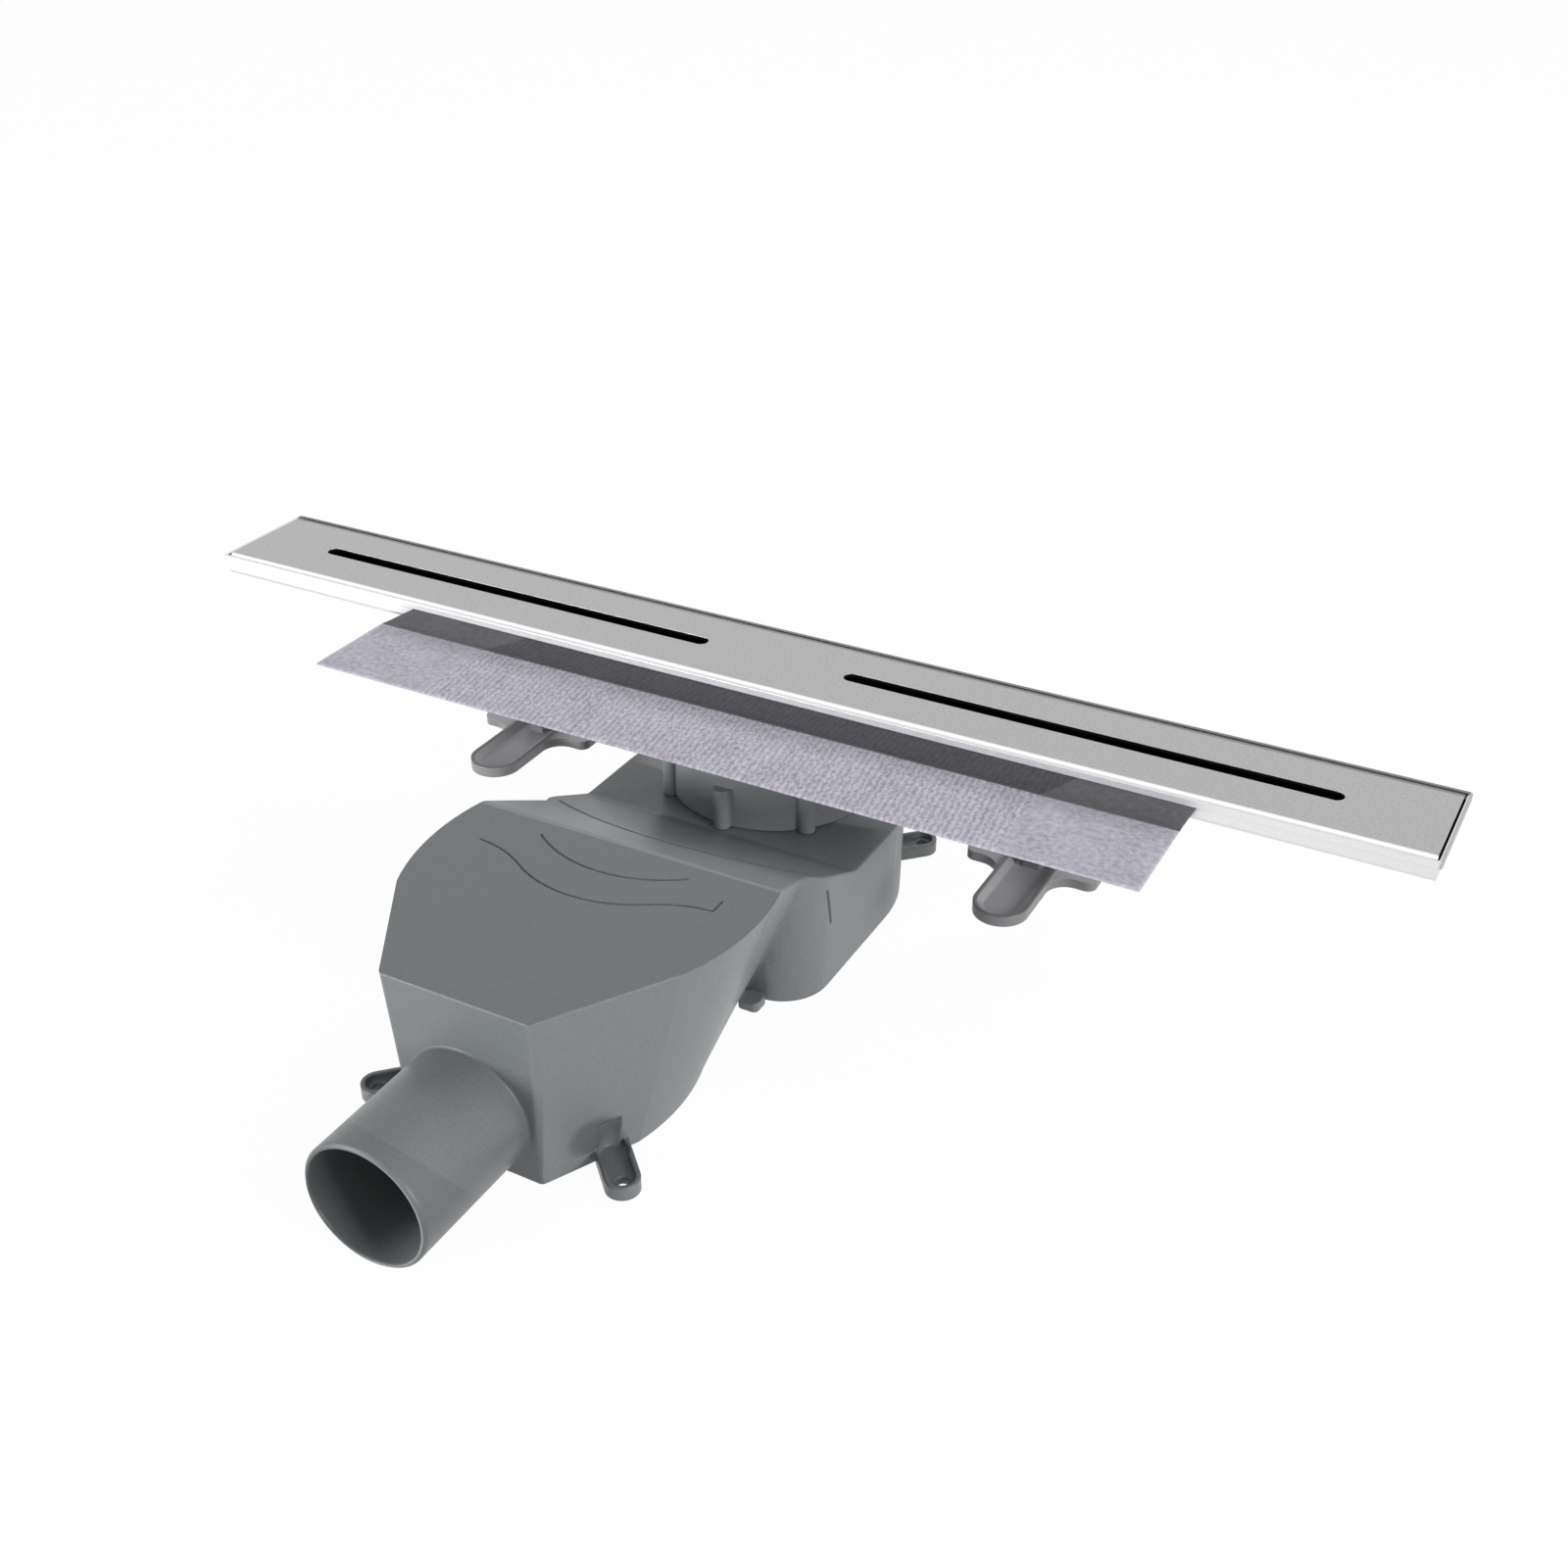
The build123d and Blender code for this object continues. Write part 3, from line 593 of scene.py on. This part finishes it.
def satin_grain():
    """Group: the short fine scratches that satin finishing leaves along a sheet."""
    along_sheet = (0.35, 1.0, 1.0)
    patch_swing = 0.04
    roughness_swing = 0.2
    group, given, result = new_group("satin_grain", (
        ("INPUT", "Color", "NodeSocketColor"),
        ("INPUT", "Contrast", "NodeSocketFloat"),
        ("INPUT", "Roughness", "NodeSocketFloat"),
        ("OUTPUT", "Color", "NodeSocketColor"),
        ("OUTPUT", "Roughness", "NodeSocketFloat"),
        ("OUTPUT", "Height", "NodeSocketFloat"),
    ))
    place = group.nodes.new("ShaderNodeTexCoord").outputs["Object"]
    drawn = group.nodes.new("ShaderNodeMapping")
    drawn.inputs["Scale"].default_value = along_sheet
    group.links.new(place, drawn.inputs["Vector"])
    scratches = noise_node(group, drawn.outputs["Vector"], scale=1900.0, detail=2.0, roughness=0.6)
    patches = noise_node(group, place, scale=14.0, detail=2.0, roughness=0.5)
    fine = swing(group, scratches, given.outputs["Contrast"])
    slow = swing(group, patches, patch_swing)
    tone = math_node(group, "ADD", math_node(group, "ADD", fine, slow), 1.0)
    group.links.new(scaled_colour(group, given.outputs["Color"], tone), result.inputs["Color"])
    uneven = swing(group, scratches, roughness_swing)
    rough = math_node(group, "ADD", uneven, given.outputs["Roughness"], clamp=True)
    group.links.new(rough, result.inputs["Roughness"])
    group.links.new(scratches, result.inputs["Height"])
    return group


satin_sheet = satin_grain()


def grey(level):
    """A neutral colour."""
    return (level, level, level)


def mix_colour(tree, factor, first, second):
    """Blend of two colours, each a tuple or a socket."""
    node = tree.nodes.new("ShaderNodeMix")
    node.data_type = "RGBA"
    tree.links.new(factor, node.inputs["Factor"])
    for name, colour in (("A", first), ("B", second)):
        socket = [s for s in node.inputs if s.name == name and s.type == "RGBA"][0]
        if isinstance(colour, tuple):
            socket.default_value = (*colour, 1)
        else:
            tree.links.new(colour, socket)
    return [s for s in node.outputs if s.type == "RGBA"][0]


def satin_steel(name, colour, roughness, contrast, inside=None, bends=None, edge=0.00035):
    """Satin metal; inside builds the mask of its inside painted black as shade, bends the masks and
    colours of painted highlights and reflections on its folds and rim.
    """
    unlit = grey(0.006)
    metal_gloss = 0.5
    material, tree, shader = new_material(name)
    grain = tree.nodes.new("ShaderNodeGroup")
    grain.node_tree = satin_sheet
    grain.inputs["Color"].default_value = (*colour, 1)
    grain.inputs["Contrast"].default_value = contrast
    grain.inputs["Roughness"].default_value = roughness
    tree.links.new(grain.outputs["Roughness"], shader.inputs["Roughness"])
    sheet_colour = grain.outputs["Color"]
    if bends is not None:
        for mask, tint in bends(tree):
            sheet_colour = mix_colour(tree, mask, sheet_colour, tint)
    if inside is None:
        shader.inputs["Metallic"].default_value = 1.0
    else:
        dark = inside(tree)
        sheet_colour = mix_colour(tree, dark, sheet_colour, unlit)
        metal = outside(tree, dark)
        tree.links.new(metal, shader.inputs["Metallic"])
        gloss = math_node(tree, "MULTIPLY", metal, metal_gloss)
        tree.links.new(gloss, shader.inputs["Specular IOR Level"])
    tree.links.new(sheet_colour, shader.inputs["Base Color"])
    soften_and_grain(
        tree, shader, grain.outputs["Height"], edge, samples=8, distance=0.00001, strength=0.5
    )
    return material


cover_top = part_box("cover_plate")[1].z


def slot_side_shade(tree):
    """The cut sides of the slots, painted black as the shade in them."""
    slots_half = 0.0045
    top_skin = 0.00012
    _, y, z = own_place(tree)
    near_middle = below(tree, math_node(tree, "ABSOLUTE", y), slots_half)
    return all_of(tree, near_middle, below(tree, z, cover_top - top_skin))


def tray_inside_shade(tree):
    """The hollow of the tray and the open joint around the cover, painted black as shade."""
    hollow_half_width = 0.0251
    hollow_half_length = 0.2764
    hollow_floor = 0.0908
    joint_half_width = 0.0246
    joint_half_length = 0.2771
    joint_floor = 0.0970
    rim_skin = 0.0002
    rim_fade = 0.0006
    x, y, z = own_place(tree)
    aside = math_node(tree, "ABSOLUTE", x)
    across = math_node(tree, "ABSOLUTE", y)
    hollow = all_of(
        tree,
        below(tree, across, hollow_half_width),
        below(tree, aside, hollow_half_length),
        above(tree, z, hollow_floor),
    )
    joint = all_of(
        tree,
        below(tree, across, joint_half_width),
        below(tree, aside, joint_half_length),
        above(tree, z, joint_floor),
    )
    either = math_node(tree, "MAXIMUM", hollow, joint)
    return all_of(tree, either, below(tree, z, cover_top - rim_skin, rim_fade))


def cover_fold_reflections(tree):
    """A painted highlight on the front fold of the cover and a painted dark reflection on its rear fold.
    """
    front_fold = -0.0230
    rear_fold = 0.0220
    y = own_place(tree)[1]
    front = below(tree, y, front_fold, softness=0.0006)
    rear = above(tree, y, rear_fold, softness=0.0008)
    return ((front, grey(0.96)), (rear, grey(0.24)))


def rim_reflections(tree):
    """Painted dark reflections on the rear rim and the right end of the tray, mirroring a darker room."""
    rear_rim = 0.0242
    rim_depth = 0.0008
    right_end = 0.2776
    x, y, z = own_place(tree)
    high_enough = above(tree, z, cover_top - rim_depth, softness=0.0004)
    rear = all_of(tree, above(tree, y, rear_rim, softness=0.0002), high_enough)
    end = above(tree, x, right_end, softness=0.0002)
    return ((rear, grey(0.22)), (end, grey(0.46)))


cover_steel = satin_steel(
    "cover_steel",
    grey(0.445),
    roughness=0.40,
    contrast=0.80,
    inside=slot_side_shade,
    bends=cover_fold_reflections,
)
channel_steel = satin_steel(
    "channel_steel",
    grey(0.72),
    roughness=0.38,
    contrast=0.05,
    inside=tray_inside_shade,
    bends=rim_reflections,
    edge=0.0002,
)
wear_material(nodes["cover_plate"], cover_steel)
wear_material(nodes["channel"], channel_steel)

# Outlet neck, nuts and washers: a drawn steel neck and two zinc-plated nuts welded under the
# channel, each with a bead of weld round it. The lock nuts and washers on the feet match them.
neck_steel = satin_steel("neck_steel", (0.46, 0.47, 0.48), roughness=0.32, contrast=0.10)
wear_material(nodes["outlet_neck"], neck_steel)
zinc_steel = satin_steel("zinc_steel", (0.52, 0.51, 0.485), roughness=0.30, contrast=0.14)
for name in ("weld_nuts", "lock_nuts", "foot_washers"):
    wear_material(nodes[name], zinc_steel)

bead, given, labels = grown_tree("weld_beads", (
    ("Beads", "NodeSocketInt"),
    ("Circle Radius", "NodeSocketFloat"),
    ("Bead Radius", "NodeSocketFloat"),
    ("Centre", "NodeSocketVector"),
    ("Material", "NodeSocketMaterial"),
))
circle = bead.nodes.new("GeometryNodeMeshCircle")
bead.links.new(given.outputs["Beads"], circle.inputs["Vertices"])
bead.links.new(given.outputs["Circle Radius"], circle.inputs["Radius"])
moved = bead.nodes.new("GeometryNodeTransform")
bead.links.new(circle.outputs["Mesh"], moved.inputs["Geometry"])
bead.links.new(given.outputs["Centre"], moved.inputs["Translation"])
drop = bead.nodes.new("GeometryNodeMeshIcoSphere")
drop.inputs["Subdivisions"].default_value = 2
bead.links.new(given.outputs["Bead Radius"], drop.inputs["Radius"])
laid = bead.nodes.new("GeometryNodeInstanceOnPoints")
bead.links.new(moved.outputs["Geometry"], laid.inputs["Points"])
bead.links.new(drop.outputs["Mesh"], laid.inputs["Instance"])
close_tree(bead, given, laid.outputs["Instances"])

neck_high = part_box("outlet_neck")[1]
nuts_low, nuts_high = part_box("weld_nuts")
nut_spacing = 0.2425
nut_reach = (nuts_high.y - nuts_low.y) / 2
bead_radius = 0.0009
bead_sink = 0.0004
neck_weld_gap = 0.0002
neck_beads = 92
nut_beads = 30
neck_weld_radius = neck_high.x + neck_weld_gap
neck_weld_centre = (0.0, 0.0, neck_high.z - bead_sink)
left_nut_centre = (-nut_spacing / 2, 0.0, nuts_high.z - bead_sink)
right_nut_centre = (nut_spacing / 2, 0.0, nuts_high.z - bead_sink)
for name, count, radius, centre, finish, slot in (
    ("neck_weld", neck_beads, neck_weld_radius, neck_weld_centre, neck_steel, "neck_steel"),
    ("left_nut_weld", nut_beads, nut_reach, left_nut_centre, zinc_steel, "zinc_steel"),
    ("right_nut_weld", nut_beads, nut_reach, right_nut_centre, zinc_steel, "zinc_steel"),
):
    weld_sizes = {
        "Beads": count,
        "Circle Radius": radius,
        "Bead Radius": bead_radius,
        "Centre": centre,
        "Material": finish,
    }
    weld = grow_piece(name, bead, labels, weld_sizes)
    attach(weld, "root")

# Levelling rods: two zinc-plated M8 rods that screw into the nuts under the channel and carry
# it on the feet. Their thread is cut by drawing the points of a bar in along a helix.
thread, given, labels = grown_tree("threaded_rods", (
    ("Spacing", "NodeSocketFloat"),
    ("Radius", "NodeSocketFloat"),
    ("Length", "NodeSocketFloat"),
    ("Pitch", "NodeSocketFloat"),
    ("Depth", "NodeSocketFloat"),
    ("Rows", "NodeSocketInt"),
    ("Middle", "NodeSocketVector"),
    ("Material", "NodeSocketMaterial"),
))
rod_sides = 26
bar = thread.nodes.new("GeometryNodeMeshCylinder")
bar.inputs["Vertices"].default_value = rod_sides
thread.links.new(given.outputs["Rows"], bar.inputs["Side Segments"])
thread.links.new(given.outputs["Radius"], bar.inputs["Radius"])
thread.links.new(given.outputs["Length"], bar.inputs["Depth"])
parts = thread.nodes.new("ShaderNodeSeparateXYZ")
position = thread.nodes.new("GeometryNodeInputPosition")
thread.links.new(position.outputs["Position"], parts.inputs["Vector"])
bearing = math_node(thread, "ARCTAN2", parts.outputs["Y"], parts.outputs["X"])
turn = math_node(thread, "DIVIDE", bearing, 2 * math.pi)
climb = math_node(thread, "DIVIDE", parts.outputs["Z"], given.outputs["Pitch"])
turns = math_node(thread, "SUBTRACT", climb, turn)
flank = math_node(thread, "MULTIPLY", math_node(thread, "PINGPONG", turns, 0.5), 2.0)
cut_depth = math_node(thread, "MULTIPLY", flank, given.outputs["Depth"])
shrink = math_node(thread, "DIVIDE", cut_depth, given.outputs["Radius"])
keep = math_node(thread, "SUBTRACT", 1.0, shrink)
cut = thread.nodes.new("ShaderNodeCombineXYZ")
thread.links.new(math_node(thread, "MULTIPLY", parts.outputs["X"], keep), cut.inputs["X"])
thread.links.new(math_node(thread, "MULTIPLY", parts.outputs["Y"], keep), cut.inputs["Y"])
thread.links.new(parts.outputs["Z"], cut.inputs["Z"])
carved = thread.nodes.new("GeometryNodeSetPosition")
thread.links.new(bar.outputs["Mesh"], carved.inputs["Geometry"])
thread.links.new(cut.outputs["Vector"], carved.inputs["Position"])
smooth = thread.nodes.new("GeometryNodeSetShadeSmooth")
thread.links.new(carved.outputs["Geometry"], smooth.inputs["Geometry"])
pair = thread.nodes.new("GeometryNodeMeshLine")
pair.inputs["Count"].default_value = 2
apart = thread.nodes.new("ShaderNodeCombineXYZ")
thread.links.new(given.outputs["Spacing"], apart.inputs["X"])
start = thread.nodes.new("ShaderNodeVectorMath")
start.operation = "MULTIPLY_ADD"
thread.links.new(apart.outputs["Vector"], start.inputs[0])
start.inputs[1].default_value = (-0.5, 0.0, 0.0)
thread.links.new(given.outputs["Middle"], start.inputs[2])
thread.links.new(start.outputs["Vector"], pair.inputs["Start Location"])
thread.links.new(apart.outputs["Vector"], pair.inputs["Offset"])
stood = thread.nodes.new("GeometryNodeInstanceOnPoints")
thread.links.new(pair.outputs["Mesh"], stood.inputs["Points"])
thread.links.new(smooth.outputs["Geometry"], stood.inputs["Instance"])
close_tree(thread, given, stood.outputs["Instances"])

thread_pitch = 0.00125
thread_depth = 0.0007
rows_per_turn = 7
rod_low, rod_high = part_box("levelling_rods")
rod_radius = (rod_high.y - rod_low.y) / 2
rod_length = rod_high.z - rod_low.z
rod_sizes = {
    "Spacing": rod_high.x - rod_low.x - 2 * rod_radius,
    "Radius": rod_radius,
    "Length": rod_length,
    "Pitch": thread_pitch,
    "Depth": thread_depth,
    "Rows": int(rod_length / thread_pitch * rows_per_turn),
    "Middle": (0.0, (rod_low.y + rod_high.y) / 2, (rod_low.z + rod_high.z) / 2),
    "Material": zinc_steel,
}
rods = grow_piece("threaded_rods", thread, labels, rod_sizes)
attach(rods, "root")
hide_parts("levelling_rods")

# Sealing membrane: a thin sheet faced with lavender-grey fleece, flat in front of the channel.
# It turns up against the skirt, and its ends are trimmed aslant. Its rise is painted dark as shadow.
sheet_low, sheet_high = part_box("membrane")
free_y = sheet_low.y
half_span = sheet_high.x
top_z = sheet_high.z
sheet_thickness = 0.0008
bend_radius = 0.0011
left_trim = 0.0180  # left end is cut back by this much at the top of the rise
right_lean = 0.0050
flat_steps = 40
bend_steps = 8
rise_steps = 6
columns = 240
flat_z = sheet_low.z + sheet_thickness / 2
rise_y = sheet_high.y - sheet_thickness / 2
bend_y = rise_y - bend_radius
rise_foot = flat_z + bend_radius
path = []
for i in range(flat_steps):
    path.append((free_y + (bend_y - free_y) * i / flat_steps, flat_z))
for i in range(bend_steps + 1):
    angle = math.radians(90 * i / bend_steps)
    path.append((bend_y + bend_radius * math.sin(angle), rise_foot - bend_radius * math.cos(angle)))
for i in range(1, rise_steps + 1):
    path.append((rise_y, rise_foot + (top_z - rise_foot) * i / rise_steps))
run = [0.0]
for a, b in zip(path, path[1:]):
    run.append(run[-1] + math.dist(a, b))

sheet_mesh = bpy.data.meshes.new("sealing_membrane")
sheet = bpy.data.objects.new("sealing_membrane", sheet_mesh)
bpy.context.scene.collection.objects.link(sheet)
work = bmesh.new()
uv_layer = work.loops.layers.uv.new("UVMap")
rows = []
for i in range(columns + 1):
    column_points = []
    for y, z in path:
        risen = max(0.0, (z - flat_z) / (top_z - flat_z))
        left = -half_span + left_trim * risen
        right = half_span + right_lean * risen
        column_points.append(work.verts.new((left + (right - left) * i / columns, y, z)))
    rows.append(column_points)
for i in range(columns):
    for j in range(len(path) - 1):
        corners = ((i, j), (i + 1, j), (i + 1, j + 1), (i, j + 1))
        face = work.faces.new([rows[ci][cj] for ci, cj in corners])
        face.smooth = True
        for loop, (ci, cj) in zip(face.loops, corners):
            loop[uv_layer].uv = (2 * half_span * ci / columns, run[cj])
work.to_mesh(sheet_mesh)
work.free()
thick = sheet.modifiers.new("cloth_thickness", "SOLIDIFY")
thick.thickness = sheet_thickness
thick.offset = 0.0


def past(tree, value, limit, rate):
    """Nought up to the limit, then rising to one at the rate."""
    return math_node(tree, "MULTIPLY", math_node(tree, "SUBTRACT", value, limit), rate, clamp=True)


# the fleece from just before the bend up the rise is painted dark as shadow, deepest in the ribbed middle
shadow_margin = 0.0013
shadow_line = bend_y - free_y - shadow_margin
shadow_rate = 1800.0
woven_and_deep_shadow_half = 0.1295  # ribs and the deepest painted shadow keep within this half length
woven_and_deep_shadow_rate = 900.0
woven_and_deep_shadow_lean = 0.6
rib_lean = 0.14
rib_depth = 0.44
mottle_depth = 1.5
broad_depth = 0.5
contrast = 1.2
fuzz_depth = 0.4
fleece_dark = (0.225, 0.212, 0.262)
fleece_light = (0.510, 0.492, 0.566)
outer_shadow_dark = (0.042, 0.040, 0.046)
outer_shadow_light = (0.076, 0.074, 0.080)
inner_shadow_dark = (0.022, 0.021, 0.026)
inner_shadow_light = (0.044, 0.042, 0.050)
fleece, tree, shader = new_material("fleece")
uv = tree.nodes.new("ShaderNodeUVMap")
uv.uv_map = "UVMap"
split = tree.nodes.new("ShaderNodeSeparateXYZ")
tree.links.new(uv.outputs["UV"], split.inputs["Vector"])
across, along = split.outputs["X"], split.outputs["Y"]
shift = past(tree, along, shadow_line, woven_and_deep_shadow_lean)
from_left = math_node(tree, "SUBTRACT", across, shift)
off_middle = math_node(tree, "ABSOLUTE", math_node(tree, "SUBTRACT", from_left, half_span))
woven_and_deep_shadow = math_node(tree, "SUBTRACT", 1.0, past(tree, off_middle, woven_and_deep_shadow_half, woven_and_deep_shadow_rate), clamp=True)
shadowed = past(tree, along, shadow_line, shadow_rate)
rib = tree.nodes.new("ShaderNodeTexWave")
rib.wave_type = "BANDS"
rib.bands_direction = "X"
rib.inputs["Scale"].default_value = 118.0
rib.inputs["Distortion"].default_value = 5.6
rib.inputs["Detail"].default_value = 2.0
rib.inputs["Detail Scale"].default_value = 3.0
leaning = tree.nodes.new("ShaderNodeCombineXYZ")
tree.links.new(math_node(tree, "MULTIPLY_ADD", along, rib_lean, across), leaning.inputs["X"])
tree.links.new(along, leaning.inputs["Y"])
tree.links.new(leaning.outputs["Vector"], rib.inputs["Vector"])
mottle = noise_node(tree, uv.outputs["UV"], scale=420.0, detail=3.0, roughness=0.6)
fuzz = noise_node(tree, uv.outputs["UV"], scale=1500.0, detail=2.0, roughness=0.6)
broad = noise_node(tree, uv.outputs["UV"], scale=60.0, detail=2.0, roughness=0.5)
ribbed = math_node(tree, "MULTIPLY", swing(tree, rib.outputs["Fac"], woven_and_deep_shadow), rib_depth)
pattern = math_node(tree, "ADD", ribbed, swing(tree, mottle, mottle_depth))
pattern = math_node(tree, "ADD", pattern, swing(tree, broad, broad_depth))
lightness = math_node(tree, "ADD", math_node(tree, "MULTIPLY", pattern, contrast), 0.5, clamp=True)
lit = mix_colour(tree, lightness, fleece_dark, fleece_light)
shadow_outer = mix_colour(tree, lightness, outer_shadow_dark, outer_shadow_light)
shadow_inner = mix_colour(tree, lightness, inner_shadow_dark, inner_shadow_light)
shadow_colour = mix_colour(tree, woven_and_deep_shadow, shadow_outer, shadow_inner)
tree.links.new(mix_colour(tree, shadowed, lit, shadow_colour), shader.inputs["Base Color"])
shader.inputs["Roughness"].default_value = 0.95
shader.inputs["Sheen Weight"].default_value = 0.25
weave = tree.nodes.new("ShaderNodeBump")
weave.inputs["Distance"].default_value = 0.00025
weave.inputs["Strength"].default_value = 0.6
nap = math_node(tree, "ADD", pattern, math_node(tree, "MULTIPLY", fuzz, fuzz_depth))
tree.links.new(nap, weave.inputs["Height"])
tree.links.new(weave.outputs["Normal"], shader.inputs["Normal"])
wear_material(sheet, fleece)
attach(sheet, "root")
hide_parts("membrane")

# Floor: a wide white board just under the standing face. It glows white for the rays that show
# it, and keeps the object's soft shadow.


def seen_rays(tree):
    """One for the rays that show the backdrop: camera, glossy and transmission rays."""
    ray = tree.nodes.new("ShaderNodeLightPath")
    seen = math_node(tree, "ADD", ray.outputs["Is Camera Ray"], ray.outputs["Is Glossy Ray"])
    return math_node(tree, "ADD", seen, ray.outputs["Is Transmission Ray"], clamp=True)


floor_half = 6.0
floor_level = -0.0003
glow_share = 0.96
floor_mesh = bpy.data.meshes.new("floor")
floor_mesh.from_pydata(
    [(sx * floor_half, sy * floor_half, floor_level) for sx, sy in ((-1, -1), (1, -1), (1, 1), (-1, 1))],
    [], [(0, 1, 2, 3)],
)
floor = bpy.data.objects.new("floor", floor_mesh)
bpy.context.scene.collection.objects.link(floor)
floor_paint, tree, shader = new_material("floor_paint")
shader.inputs["Base Color"].default_value = (*grey(0.88), 1)
shader.inputs["Roughness"].default_value = 0.9
glow = tree.nodes.new("ShaderNodeEmission")
glow.inputs["Strength"].default_value = 1.0
blend = tree.nodes.new("ShaderNodeMixShader")
tree.links.new(math_node(tree, "MULTIPLY", seen_rays(tree), glow_share), blend.inputs["Fac"])
tree.links.new(shader.outputs["BSDF"], blend.inputs[1])
tree.links.new(glow.outputs["Emission"], blend.inputs[2])
output = [n for n in tree.nodes if n.type == "OUTPUT_MATERIAL"][0]
tree.links.new(blend.outputs["Shader"], output.inputs["Surface"])
floor.data.materials.append(floor_paint)

# Light: a white studio, dimmer where it only lights the object, with three softboxes at the
# front left, at the right and above the back.
studio_light = 0.56
world = bpy.data.worlds.new("studio")
bpy.context.scene.world = world
world.use_nodes = True
tree = world.node_tree
tree.nodes.clear()
sky_output = tree.nodes.new("ShaderNodeOutputWorld")
sky = tree.nodes.new("ShaderNodeBackground")
brighter = math_node(tree, "MULTIPLY", seen_rays(tree), 1.0 - studio_light)
strength = math_node(tree, "ADD", brighter, studio_light)
sky.inputs["Color"].default_value = (*grey(1.0), 1)
tree.links.new(strength, sky.inputs["Strength"])
tree.links.new(sky.outputs["Background"], sky_output.inputs["Surface"])


def softbox(name, place, target, size, power):
    """A square softbox at a place, turned to a target."""
    light = bpy.data.lights.new(name, "AREA")
    light.size = size
    light.energy = power
    holder = bpy.data.objects.new(name, light)
    bpy.context.scene.collection.objects.link(holder)
    holder.location = place
    facing = Vector(target) - Vector(place)
    holder.rotation_euler = facing.to_track_quat("-Z", "Y").to_euler()
    return holder


aim = (0.0, -0.08, 0.06)
softbox("front_left_softbox", (-1.20, -1.85, 0.30), aim, size=0.6, power=40.0)
rear_light = softbox("rear_top_softbox", (0.35, 1.15, 1.55), aim, size=0.5, power=6.5)
rear_light.visible_glossy = False
softbox("right_softbox", (1.95, -0.55, 0.75), aim, size=0.6, power=34.0)

# Camera: where the photograph was taken from, above the front right. Place, direction and
# lens were solved from the outlines of the channel and the trap.
view_direction = Vector((-0.4073, 0.7575, -0.5102))
eye = bpy.data.cameras.new("camera")
camera = bpy.data.objects.new("camera", eye)
bpy.context.scene.collection.objects.link(camera)
eye.lens = 43.24
eye.sensor_width = 36.0
eye.clip_start = 0.01
camera.location = (0.3365, -0.6177, 0.4564)
camera.rotation_euler = view_direction.to_track_quat("-Z", "Y").to_euler()
bpy.context.scene.camera = camera
bpy.context.scene.view_settings.view_transform = "Standard"
